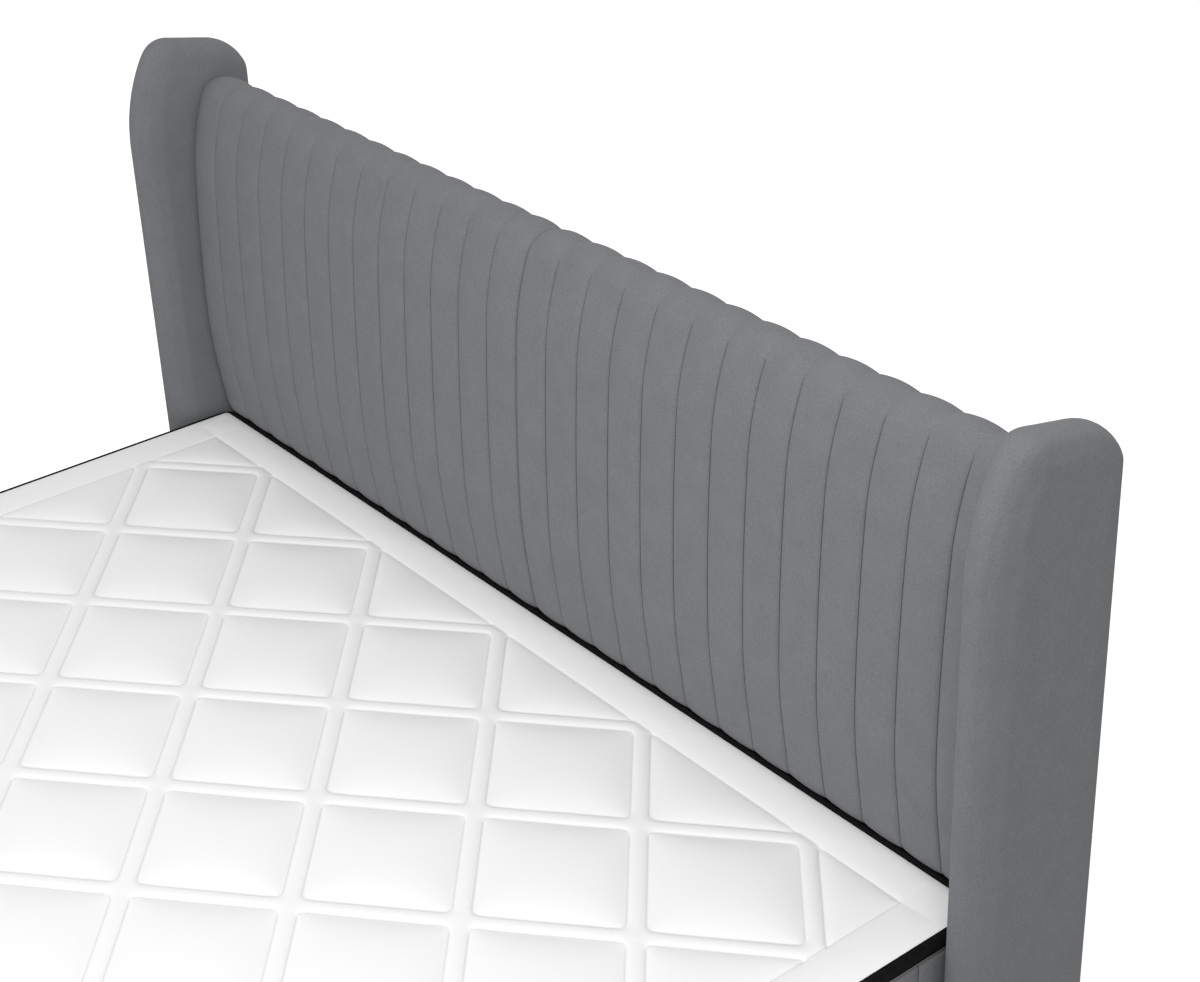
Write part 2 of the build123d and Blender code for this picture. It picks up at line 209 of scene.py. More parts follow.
class Recipe(Nodes):
    """Builds one node material, from its texture coordinate to its surface.

    PATCHES is the range that most of a noise's values lie in.
    """

    PATCHES: Span = (0.30, 0.70)

    def __init__(self, name: str) -> None:
        """Start an empty material.

        Args:
            name: The material's name.
        """
        self.material = bpy.data.materials.new(name)
        self.material.use_nodes = True
        super().__init__(self.material.node_tree)
        self.tree.nodes.clear()
        self.place = self.add("ShaderNodeTexCoord").outputs["Object"]

    def stretch(self, scale: Sequence[float]) -> Socket:
        """The piece's own coordinates, scaled along each axis."""
        return self.add("ShaderNodeMapping", Vector=self.place, Scale=scale).outputs["Vector"]

    def noise(self, noise: Noise, where: Socket | None = None) -> Socket:
        """Lay a soft random pattern.

        Args:
            noise: The pattern.
            where: Its coordinates, if not the piece's own.

        Returns:
            The pattern, from 0 to 1.
        """
        vector = where or self.place
        node = self.add("ShaderNodeTexNoise", Vector=vector, Scale=noise.scale, Detail=noise.detail)
        return node.outputs["Fac"]

    def cells(
        self, scale: float, stray: float = 1.0, where: Socket | None = None
    ) -> bpy.types.Node:
        """Lay a pattern of cells.

        Args:
            scale: How many there are to a metre.
            stray: How far they stray from a grid, from 0 to 1.
            where: Their coordinates, if not the piece's own.

        Returns:
            The node, which gives each cell's colour and the distance from its middle.
        """
        vector = where or self.place
        return self.add("ShaderNodeTexVoronoi", Vector=vector, Scale=scale, Randomness=stray)

    def wave(self, scale: float, direction: str, wander: float) -> Socket:
        """Lay even ribs across one axis.

        Args:
            scale: How close they are.
            direction: The axis, or DIAGONAL.
            wander: How far they wander.

        Returns:
            The ribs, from 0 to 1.
        """
        settings = {"wave_type": "BANDS", "bands_direction": direction, "wave_profile": "SIN"}
        node = self.add(
            "ShaderNodeTexWave", settings, Vector=self.place, Scale=scale, Distortion=wander
        )
        return node.outputs["Fac"]

    def weigh(self, patterns: Iterable[Socket], shares: Iterable[float]) -> Socket:
        """Add up several patterns.

        Args:
            patterns: The patterns.
            shares: The share that each has in the sum.

        Returns:
            The sum.
        """
        parts = [self.math("MULTIPLY", pattern, share) for pattern, share in zip(patterns, shares)]
        total = parts[0]
        for part in parts[1:]:
            total = self.math("ADD", total, part)
        return total

    def blend(self, share: Value, first: Value, second: Value) -> Socket:
        """Mix two colours.

        Args:
            share: The second colour's share.
            first: The first colour.
            second: The second colour.

        Returns:
            The colour between them.
        """
        node = self.add("ShaderNodeMix", {"data_type": "RGBA", "clamp_factor": True})
        self.fill(node.inputs["Factor"], share)
        for socket, value in zip([s for s in node.inputs if s.type == "RGBA"], (first, second)):
            self.fill(socket, value if isinstance(value, Socket) else (*value, 1))
        return next(s for s in node.outputs if s.type == "RGBA")

    def shade(self, colour: Socket, amount: Socket) -> Socket:
        """Multiply a colour by one number.

        Args:
            colour: The colour.
            amount: The number.

        Returns:
            The shaded colour.
        """
        node = self.add("ShaderNodeVectorMath", {"operation": "SCALE"})
        self.fill(node.inputs[0], colour)
        self.fill(node.inputs["Scale"], amount)
        return node.outputs["Vector"]

    def mottle(self, colour: Socket, patches: Socket, tones: Span) -> Socket:
        """A colour made darker and lighter in patches, between two shares of itself."""
        return self.shade(colour, self.span(patches, *self.PATCHES, *tones))

    def paint_seam_shade(self, colour: Socket, reach: Span, share: float) -> Socket:
        """Painted shade: a colour darkened to a share of itself over a range of seam nearness."""
        seam = self.add("ShaderNodeAttribute", {"attribute_name": Tag.SEAM.value}).outputs["Fac"]
        return self.shade(colour, self.span(seam, *reach, 1.0, share))

    def bump(self, height: Socket, relief: Relief, after: Socket | None = None) -> Socket:
        """Lay a fine relief.

        Args:
            height: The pattern of its height.
            relief: Its strength and depth.
            after: An earlier relief that it lies over.

        Returns:
            The relief.
        """
        node = self.add(
            "ShaderNodeBump", Height=height, Strength=relief.strength, Distance=relief.depth
        )
        if after is not None:
            self.fill(node.inputs["Normal"], after)
        return node.outputs["Normal"]

    def finish(
        self, colour: Socket, normal: Socket | None = None, **numbers: float
    ) -> bpy.types.Material:
        """Close the material with its surface shader.

        Args:
            colour: The base colour, linear.
            normal: A relief to shade with.
            numbers: Constants of the shader, by socket name.

        Returns:
            The finished material.
        """
        shader = self.add("ShaderNodeBsdfPrincipled", Base_Color=colour, **numbers)
        if normal is not None:
            self.fill(shader.inputs["Normal"], normal)
        self.add("ShaderNodeOutputMaterial", Surface=shader.outputs["BSDF"])
        return self.material


@dataclass(frozen=True)
class Upholstery:
    """Matte short-pile furniture fabric with a faint melange and painted shade in its seam creases.
    """

    name: str = "grey_upholstery"
    dark: Colour = (0.150, 0.154, 0.162)
    light: Colour = (0.214, 0.219, 0.230)
    yarn: Noise = Noise(430, 3.0)
    cloud: Noise = Noise(26, 4.0)
    pile: Noise = Noise(1500)
    shares: tuple[float, ...] = (0.62, 0.22, 0.16)
    seam_reach: Span = (0.36, 0.90)
    seam_shade: float = 0.28
    weave_scale: float = 340
    weave_wander: float = 1.5
    weave_relief: Relief = Relief(0.10, 0.0003)
    pile_relief: Relief = Relief(0.22, 0.0005)
    yarn_relief: Relief = Relief(0.20, 0.0008)

    def make(self) -> bpy.types.Material:
        """Build the material."""
        mix = Recipe(self.name)
        yarn, cloud, pile = (mix.noise(noise) for noise in (self.yarn, self.cloud, self.pile))
        melange = mix.span(mix.weigh((yarn, cloud, pile), self.shares), *mix.PATCHES)
        colour = mix.blend(melange, self.dark, self.light)
        # Painted shade: the colour darkens along the seams, where the creases fall into shade.
        colour = mix.paint_seam_shade(colour, self.seam_reach, self.seam_shade)
        ribs = [mix.wave(self.weave_scale, axis, self.weave_wander) for axis in "XZ"]
        normal = mix.bump(mix.math("ADD", *ribs), self.weave_relief)
        normal = mix.bump(pile, self.pile_relief, normal)
        normal = mix.bump(yarn, self.yarn_relief, normal)
        shine = {"Specular_IOR_Level": 0.12, "Sheen_Weight": 0.06, "Sheen_Roughness": 0.6}
        return mix.finish(colour, normal, Roughness=0.93, **shine)


@dataclass(frozen=True)
class Ticking:
    """White knitted mattress cover, with fine ribs and a painted shade in its stitched grooves."""

    name: str = "white_ticking"
    ground: Colour = (0.915, 0.915, 0.917)
    rib: Colour = (0.955, 0.955, 0.956)
    ribs_scale: float = 150
    courses_scale: float = 190
    wander: float = 0.6
    fluff: Noise = Noise(700)
    shares: Span = (0.6, 0.4)
    seam_reach: Span = (0.5, 1.0)
    seam_shade: float = 0.78
    knit_relief: Relief = Relief(0.12, 0.0003)
    fluff_relief: Relief = Relief(0.12, 0.0004)

    def make(self) -> bpy.types.Material:
        """Build the material."""
        mix = Recipe(self.name)
        ribs = mix.wave(self.ribs_scale, "X", self.wander)
        knit = mix.math("MULTIPLY", ribs, mix.wave(self.courses_scale, "Y", self.wander))
        fluff = mix.noise(self.fluff)
        colour = mix.blend(mix.weigh((knit, fluff), self.shares), self.ground, self.rib)
        # Painted shade: the colour darkens along the stitched grooves of the quilt.
        colour = mix.paint_seam_shade(colour, self.seam_reach, self.seam_shade)
        normal = mix.bump(fluff, self.fluff_relief, mix.bump(knit, self.knit_relief))
        return mix.finish(colour, normal, Roughness=0.88, Specular_IOR_Level=0.2, Sheen_Weight=0.05)


@dataclass(frozen=True)
class SpacerMesh:
    """Black open mesh band with rows of small round holes."""

    name: str = "black_spacer_mesh"
    thread: Colour = (0.0075, 0.0075, 0.008)
    hole: Colour = (0.0015, 0.0015, 0.0015)
    holes_scale: float = 380
    stray: float = 0.25
    hole_edge: Span = (0.18, 0.42)
    lint: Noise = Noise(90, 3.0)
    lint_tones: Span = (0.75, 1.35)
    relief: Relief = Relief(0.5, 0.0006)

    def make(self) -> bpy.types.Material:
        """Build the material."""
        mix = Recipe(self.name)
        cells = mix.cells(self.holes_scale, self.stray)
        net = mix.span(cells.outputs["Distance"], *self.hole_edge)
        colour = mix.blend(net, self.hole, self.thread)
        colour = mix.mottle(colour, mix.noise(self.lint), self.lint_tones)
        normal = mix.bump(net, self.relief)
        return mix.finish(colour, normal, Roughness=0.85, Specular_IOR_Level=0.06)


@dataclass(frozen=True)
class PipingWrap:
    """Beige cord cover with a slanting twist."""

    name: str = "beige_piping_wrap"
    low: Colour = (0.15, 0.135, 0.115)
    high: Colour = (0.30, 0.275, 0.235)
    twist_scale: float = 160
    wander: float = 0.8
    fibre: Noise = Noise(1200)
    shares: Span = (0.6, 0.4)
    relief: Relief = Relief(0.5, 0.0006)

    def make(self) -> bpy.types.Material:
        """Build the material."""
        mix = Recipe(self.name)
        twist = mix.wave(self.twist_scale, "DIAGONAL", self.wander)
        tone = mix.weigh((twist, mix.noise(self.fibre)), self.shares)
        normal = mix.bump(twist, self.relief)
        return mix.finish(mix.blend(tone, self.low, self.high), normal, Roughness=0.85)


@dataclass(frozen=True)
class Spunbond:
    """Pressed non-woven cloth with a fine dimple pattern."""

    name: str
    low: Colour
    high: Colour
    dimples_scale: float = 420
    stray: float = 0.15
    dimple_edge: Span = (0.1, 0.5)
    fibres: Noise = Noise(240, 5.0)
    shares: Span = (0.4, 0.6)
    slack: Noise = Noise(9, 3.0)
    dimple_relief: Relief = Relief(0.35, 0.0004)
    slack_relief: Relief = Relief(0.3, 0.004)

    def make(self) -> bpy.types.Material:
        """Build the material."""
        mix = Recipe(self.name)
        dimples = mix.cells(self.dimples_scale, self.stray)
        press = mix.span(dimples.outputs["Distance"], *self.dimple_edge)
        tone = mix.weigh((press, mix.noise(self.fibres)), self.shares)
        colour = mix.blend(tone, self.low, self.high)
        normal = mix.bump(press, self.dimple_relief)
        normal = mix.bump(mix.noise(self.slack), self.slack_relief, normal)
        return mix.finish(colour, normal, Roughness=0.9, Specular_IOR_Level=0.2)


@dataclass(frozen=True)
class Foam:
    """Open-cell foam, cream, with fine pores."""

    name: str = "cream_foam"
    pore: Colour = (0.52, 0.46, 0.33)
    skin: Colour = (0.80, 0.75, 0.60)
    pores_scale: float = 600
    pore_edge: Span = (0.1, 0.5)
    blotch: Noise = Noise(14, 3.0)
    blotch_tones: Span = (0.9, 1.05)
    relief: Relief = Relief(0.6, 0.0008)

    def make(self) -> bpy.types.Material:
        """Build the material."""
        mix = Recipe(self.name)
        pores = mix.span(mix.cells(self.pores_scale).outputs["Distance"], *self.pore_edge)
        colour = mix.blend(pores, self.pore, self.skin)
        colour = mix.mottle(colour, mix.noise(self.blotch), self.blotch_tones)
        normal = mix.bump(pores, self.relief)
        return mix.finish(colour, normal, Roughness=0.95, Specular_IOR_Level=0.1)


class Grain(Enum):
    """How far wood grain is drawn out along each axis."""

    ACROSS = (0.06, 1.0, 1.0)
    ALONG = (1.0, 0.06, 1.0)
    UPRIGHT = (1.0, 1.0, 0.06)


@dataclass(frozen=True)
class Pine:
    """Planed softwood with long grain, growth lines and a few knots."""

    grain: Grain
    early: Colour = (0.66, 0.49, 0.30)
    late: Colour = (0.43, 0.27, 0.13)
    knot: Colour = (0.20, 0.10, 0.045)
    rings: Noise = Noise(60, 4.0)
    lines: float = 7.0
    line_edge: Span = (0.35, 1.0)
    line_share: float = 0.8
    knots_scale: float = 9
    knot_edge: Span = (0.05, 0.11)
    fibre: Noise = Noise(900)
    fibre_tones: Span = (0.9, 1.06)
    line_relief: Relief = Relief(0.12, 0.0004)
    fibre_relief: Relief = Relief(0.2, 0.0003)

    def make(self) -> bpy.types.Material:
        """Build the material."""
        mix = Recipe(f"pine_{self.grain.name.lower()}")
        drawn = mix.stretch(self.grain.value)
        rings = mix.math("MULTIPLY", mix.noise(self.rings, drawn), self.lines)
        lines = mix.math("FRACT", rings)
        growth = mix.span(lines, *self.line_edge, 0.0, self.line_share)
        knots = mix.cells(self.knots_scale, where=drawn)
        spot = mix.span(knots.outputs["Distance"], *self.knot_edge, 1.0, 0.0)
        fibre = mix.noise(self.fibre, drawn)
        colour = mix.blend(spot, mix.blend(growth, self.early, self.late), self.knot)
        colour = mix.mottle(colour, fibre, self.fibre_tones)
        normal = mix.bump(fibre, self.fibre_relief, mix.bump(lines, self.line_relief))
        return mix.finish(colour, normal, Roughness=0.62, Specular_IOR_Level=0.35)


@dataclass(frozen=True)
class ParticleBoard:
    """Pressed chips in a warm brown binder."""

    name: str = "particle_board"
    binder: Colour = (0.30, 0.20, 0.105)
    chip: Colour = (0.62, 0.46, 0.27)
    flatness: tuple[float, float, float] = (1, 1.6, 2.4)
    chips_scale: float = 160
    chip_tones: Span = (0.2, 0.8)
    dust: Noise = Noise(900, 3.0)
    dust_tones: Span = (0.88, 1.08)
    relief: Relief = Relief(0.25, 0.0004)

    def make(self) -> bpy.types.Material:
        """Build the material."""
        mix = Recipe(self.name)
        chips = mix.cells(self.chips_scale, where=mix.stretch(self.flatness))
        tone = mix.span(chips.outputs["Color"], *self.chip_tones)
        colour = mix.blend(tone, self.binder, self.chip)
        colour = mix.mottle(colour, mix.noise(self.dust), self.dust_tones)
        normal = mix.bump(tone, self.relief)
        return mix.finish(colour, normal, Roughness=0.8, Specular_IOR_Level=0.25)


@dataclass(frozen=True)
class MouldedPlastic:
    """Black plastic with a fine spark-eroded grain."""

    name: str = "black_moulded_plastic"
    body: Colour = (0.022, 0.022, 0.023)
    worn: Colour = (0.055, 0.055, 0.056)
    grain: Noise = Noise(1400)
    scuff: Noise = Noise(40, 5.0)
    scuff_edge: Span = (0.5, 0.75)
    relief: Relief = Relief(0.3, 0.0002)

    def make(self) -> bpy.types.Material:
        """Build the material."""
        mix = Recipe(self.name)
        scuff = mix.span(mix.noise(self.scuff), *self.scuff_edge)
        colour = mix.blend(scuff, self.body, self.worn)
        normal = mix.bump(mix.noise(self.grain), self.relief)
        return mix.finish(colour, normal, Roughness=0.5, Specular_IOR_Level=0.4)


@dataclass(frozen=True)
class ZincPlate:
    """Bright zinc-plated steel with cloudy spangle."""

    name: str = "zinc_plated_steel"
    dull: Colour = (0.42, 0.42, 0.43)
    bright: Colour = (0.66, 0.66, 0.67)
    spangle_scale: float = 240
    haze: Noise = Noise(800, 3.0)
    relief: Relief = Relief(0.15, 0.0002)

    def make(self) -> bpy.types.Material:
        """Build the material."""
        mix = Recipe(self.name)
        tone = mix.span(mix.cells(self.spangle_scale).outputs["Color"], 0.0, 1.0)
        colour = mix.blend(tone, self.dull, self.bright)
        normal = mix.bump(mix.noise(self.haze), self.relief)
        return mix.finish(colour, normal, Metallic=1.0, Roughness=0.38)


class Wardrobe:
    """Makes each finish once and hands it out."""

    def __init__(self) -> None:
        """Make every finish of the bed."""
        black, grey = (0.010, 0.010, 0.011), (0.040, 0.040, 0.042)
        off_white, white = (0.62, 0.62, 0.61), (0.80, 0.80, 0.79)
        self.upholstery = Upholstery().make()
        self.ticking = Ticking().make()
        self.mesh_band = SpacerMesh().make()
        self.piping = PipingWrap().make()
        self.backing = Spunbond("black_backing_cloth", black, grey).make()
        self.fleece = Spunbond("white_fleece", off_white, white).make()
        self.foam = Foam().make()
        self.pine = {grain: Pine(grain).make() for grain in Grain}
        self.board = ParticleBoard().make()
        self.plastic = MouldedPlastic().make()
        self.zinc = ZincPlate().make()


# Mesh helpers
Shape = bmesh.types.BMesh
Vert = bmesh.types.BMVert
Edge = bmesh.types.BMEdge

# A place along a side, its inset and its nearness to a seam
Mark = tuple[float, float, float]


def even(count: int) -> list[float]:
    """Shares from 0 to 1 in even steps."""
    return [step / count for step in range(count + 1)]


def eased(count: int) -> list[float]:
    """Shares from 0 to 1 that crowd towards both ends, where a pad turns down to its seam."""
    return [(1 - math.cos(math.pi * share)) / 2 for share in even(count)]


def fall(share: float, roundness: float) -> float:
    """How far a sewn pad has fallen from its crown, 0 in the middle and 1 at its two seams."""
    aside = min(1.0, abs(2 * share - 1))
    return 1 - (1 - aside**roundness) ** (1 / roundness)


def arch(share: float) -> float:
    """The same fall for a softly rounded pad: 0 in the middle, 1 at its two seams, with no flat."""
    return (2 * share - 1) ** 2


def full_give(outward: Vector) -> float:
    """The same give on every side of an outline."""
    return 1.0


class Outline:
    """The side outline of a piece, drawn square to X with straight runs and tangent arcs.

    Each vertex keeps its give: the way, and how far, it is drawn in where the piece is sewn down.
    It also keeps its share of the crest, where seams are shallow and their painted shade fades.
    """

    CREST_START = 0.30
    CREST_FULL = 0.70

    def __init__(
        self,
        shape: Shape,
        start: Vector | Vert,
        heading: Vector,
        step: float,
        facing: int = 1,
        give: Callable[[Vector], float] = full_give,
    ) -> None:
        """Put down the first point.

        Args:
            shape: The mesh to draw in.
            start: The first point, or a vertex that is already there.
            heading: The direction in which the line leaves it, square to X.
            step: The longest step along an arc.
            facing: 1 where the piece's inside is on the line's right, seen along X, or -1.
            give: How far a point with that outward direction is drawn in at a seam.
        """
        self.shape = shape
        self.step = step
        self.facing = facing
        self.give = give
        self.heading = heading.normalized()
        names = shape.verts.layers.float_vector
        numbers = shape.verts.layers.float
        self.layer = names.get(Tag.GIVE.value) or names.new(Tag.GIVE.value)
        self.crest = numbers.get(Tag.CREST.value) or numbers.new(Tag.CREST.value)
        self.last = start if isinstance(start, Vert) else shape.verts.new(start)
        self.first = self.last
        self.soften(self.last, self.heading, 1.0)

    def soften(self, vert: Vert, heading: Vector, share: float) -> None:
        """Give a vertex its own give and its share of the crest.

        Args:
            vert: The vertex.
            heading: The line's direction there.
            share: The share of the full give.
        """
        outward = ACROSS.cross(heading) * self.facing
        vert[self.layer] = outward * (-self.give(outward) * share)
        rise = (outward.z - self.CREST_START) / (self.CREST_FULL - self.CREST_START)
        vert[self.crest] = min(1.0, max(0.0, rise))

    def line(self, end: Vector | Vert, parts: int = 1, soft: bool = False) -> "Outline":
        """Run straight to a point.

        Args:
            end: The point, or a vertex that is already there.
            parts: How many steps to take.
            soft: Whether the stretch has give.

        Returns:
            The same outline.
        """
        start = self.last.co.copy()
        goal = end.co.copy() if isinstance(end, Vert) else end
        self.heading = (goal - start).normalized()
        for share in even(parts)[1:]:
            known = isinstance(end, Vert) and share == 1
            vert = end if known else self.shape.verts.new(start.lerp(goal, share))
            self.shape.edges.new((self.last, vert))
            if soft:
                self.soften(vert, self.heading, 1.0)
            self.last = vert
        return self

    def arc(self, end: Vector, share_at_end: float = 1.0) -> "Outline":
        """Turn to a point on the arc that carries on the present heading.

        Args:
            end: Where the arc ends.
            share_at_end: The share of the full give that is left there.

        Returns:
            The same outline.
        """
        start = self.last.co.copy()
        chord = end - start
        normal = ACROSS.cross(self.heading)
        turn = 2 * math.atan2(chord.dot(normal), chord.dot(self.heading))
        radius = chord.length_squared / (2 * chord.dot(normal))
        steps = max(2, math.ceil(abs(radius * turn) / self.step))
        count = len(self.shape.verts)
        centre = start + normal * radius
        bmesh.ops.spin(
            self.shape, geom=[self.last], cent=centre, axis=ACROSS, angle=turn, steps=steps
        )
        for number, vert in enumerate(list(self.shape.verts)[count:], start=1):
            share = number / steps
            heading = Matrix.Rotation(turn * share, 3, "X") @ self.heading
            self.soften(vert, heading, 1 + (share_at_end - 1) * share)
            self.last = vert
        self.heading = Matrix.Rotation(turn, 3, "X") @ self.heading
        return self


@dataclass(frozen=True)
class Station:
    """One place along a sweep: where the outline stands, its inset, and its nearness to a seam.

    A station with its own inset over the crest lets its seam and its painted seam shade fade there.
    """

    place: Matrix
    inset: float = 0.0
    seam: float = 0.0
    crest_inset: float | None = None


def sweep(shape: Shape, stations: Sequence[Station], closed: bool = False) -> None:
    """Draw the outline in a mesh out through its stations, then sew it down.

    Args:
        shape: The mesh, which holds one closed outline at its own origin.
        stations: The places, in order.
        closed: Whether the last place joins the first.
    """
    numbers = shape.verts.layers.int.new(Tag.STATION.value)
    seams = shape.verts.layers.float.new(Tag.SEAM.value)
    sewn = shape.verts.layers.float.new(Tag.SEWN.value)
    gives = shape.verts.layers.float_vector.get(Tag.GIVE.value)
    crests = shape.verts.layers.float.get(Tag.CREST.value)
    first = edges = list(shape.edges)
    bmesh.ops.transform(shape, matrix=stations[0].place, verts=shape.verts)
    order = list(range(len(stations))) + ([0] if closed else [])
    for before, number in zip(order, order[1:]):
        made = bmesh.ops.extrude_edge_only(shape, edges=edges)["geom"]
        verts = [item for item in made if isinstance(item, Vert)]
        edges = [item for item in made if isinstance(item, Edge)]
        move = stations[number].place @ stations[before].place.inverted()
        bmesh.ops.transform(shape, matrix=move, verts=verts)
        edges = [edge for edge in edges if all(vert in set(verts) for vert in edge.verts)]
        for vert in verts:
            vert[numbers] = number
    for vert in shape.verts:
        station = stations[vert[numbers]]
        # Nearness to a seam pins the cloth and sets where painted seam shade falls.
        vert[seams] = vert[sewn] = station.seam
        inset = station.inset
        if crests and station.crest_inset is not None:
            inset += (station.crest_inset - inset) * vert[crests]
            # Over the crest the painted seam shade fades out.
            vert[seams] *= 1 - vert[crests]
        if gives and inset:
            vert.co += station.place.to_3x3() @ (vert[gives] * inset)
    if closed:
        ends = {vert for edge in list(first) + edges for vert in edge.verts}
        bmesh.ops.remove_doubles(shape, verts=list(ends), dist=WELD)
    else:
        for rim in (first, edges):
            bmesh.ops.triangle_fill(shape, edges=rim, use_beauty=True)


def finished(shape: Shape, name: str, material: bpy.types.Material) -> bpy.types.Object:
    """Make an object of a mesh, facing outwards and smooth-shaded, at the origin.

    Args:
        shape: The mesh, which is freed.
        name: The piece's name.
        material: Its finish.

    Returns:
        The new object.
    """
    bmesh.ops.recalc_face_normals(shape, faces=shape.faces)
    mesh = bpy.data.meshes.new(name)
    shape.to_mesh(mesh)
    shape.free()
    mesh.shade_smooth()
    mesh.materials.append(material)
    piece = bpy.data.objects.new(name, mesh)
    bpy.context.scene.collection.objects.link(piece)
    return piece


def hand_over(piece: bpy.types.Object, slot: str, *nodes: str, levels: int = 1) -> bpy.types.Object:
    """Give a piece its last subdivision and its place in the frame.

    Args:
        piece: The piece.
        slot: The record's material slot; not used.
        nodes: The frame's nodes that it stands for.
        levels: Levels of subdivision, equal in view and render.

    Returns:
        The piece.
    """
    for tag in (Tag.STATION, Tag.GIVE, Tag.CREST, Tag.SEWN):
        extra = piece.data.attributes.get(tag.value)
        if extra:
            piece.data.attributes.remove(extra)
    if levels:
        smooth = piece.modifiers.new("smooth", "SUBSURF")
        smooth.levels = smooth.render_levels = levels
    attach(piece, BODY)
    if nodes:
        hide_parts(*nodes)
    log.info("%s: %d faces before its subdivision", piece.name, len(piece.data.polygons))
    return piece


@dataclass(frozen=True)
class Stuffing:
    """Puffs a cover out by a short cloth simulation, sewn down where it is pinned."""

    pressure: float = 4.0
    stiffness: float = 15.0
    shear_share: float = 1 / 3
    bending: float = 0.5
    mass: float = 0.3
    quality: int = 5
    frames: int = 20
    cap: float = 0.005

    def puff(
        self,
        piece: bpy.types.Object,
        pinned: Iterable[int],
        limit: Callable[[Vector], Vector] | None = None,
    ) -> None:
        """Run the simulation and keep its result in the mesh.

        Args:
            piece: The cover, with no modifiers.
            pinned: The vertices that are sewn or stapled down.
            limit: Moves a puffed point back to what it rests against.
        """
        mesh = piece.data
        sewn = piece.vertex_groups.new(name="sewn")
        sewn.add(list(pinned), 1.0, "REPLACE")
        cloth = piece.modifiers.new("stuffing", "CLOTH")
        settings = cloth.settings
        settings.quality = self.quality
        settings.mass = self.mass
        settings.tension_stiffness = settings.compression_stiffness = self.stiffness
        settings.shear_stiffness = self.stiffness * self.shear_share
        settings.bending_stiffness = self.bending
        settings.vertex_group_mass = sewn.name
        settings.use_pressure = True
        settings.uniform_pressure_force = self.pressure
        settings.effector_weights.gravity = 0
        cloth.collision_settings.use_collision = False
        cloth.point_cache.frame_end = self.frames
        scene = bpy.context.scene
        for number in range(1, self.frames + 1):
            scene.frame_set(number)
        soft = piece.evaluated_get(bpy.context.evaluated_depsgraph_get())
        moved = [vert.co.copy() for vert in soft.data.vertices]
        piece.modifiers.remove(cloth)
        piece.vertex_groups.remove(sewn)
        furthest = 0.0
        for vert, after in zip(mesh.vertices, moved):
            shift = after - vert.co
            furthest = max(furthest, shift.length)
            if shift.length > self.cap:
                shift *= self.cap / shift.length
            place = vert.co + shift
            vert.co = limit(place) if limit else place
        scene.frame_set(1)
        mesh.update()
        log.info("%s puffed out by up to %.1f mm", piece.name, furthest * 1000)


def stiff_or_sewn(piece: bpy.types.Object) -> list[int]:
    """Find the vertices of a swept cover that are on a seam or on its stiff back.

    Args:
        piece: The cover.

    Returns:
        Their numbers.
    """
    gives = piece.data.attributes[Tag.GIVE.value].data
    sewn = piece.data.attributes[Tag.SEWN.value].data
    return [
        number
        for number in range(len(piece.data.vertices))
        if sewn[number].value > ON_SEAM or gives[number].vector.length < STIFF
    ]


# Sub-assemblies
@dataclass
class Datum:
    """Places that the sub-assemblies share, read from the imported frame."""

    back_y: float = field(init=False)
    mattress_top: float = field(init=False)
    wing_inner_x: float = field(init=False)
    wing_outer_x: float = field(init=False)
    frame_top: float = field(init=False)
    floor_gap: float = field(init=False)

    def __post_init__(self) -> None:
        """Read the places from the frame's nodes."""
        cloth_low, cloth_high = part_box("headboard_back_cloth")
        wing_low, wing_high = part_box("wing_cover_right")
        self.back_y = cloth_high.y
        self.frame_top = cloth_high.z
        self.floor_gap = cloth_low.z
        self.mattress_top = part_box("mattress_shoulder")[1].z
        self.wing_inner_x = wing_low.x
        self.wing_outer_x = wing_high.x

    def at(self, depth: float, height: float) -> Vector:
        """A point by its depth from the headboard's back and its height over the mattress."""
        return Vector((0, self.back_y - depth, self.mattress_top + height))


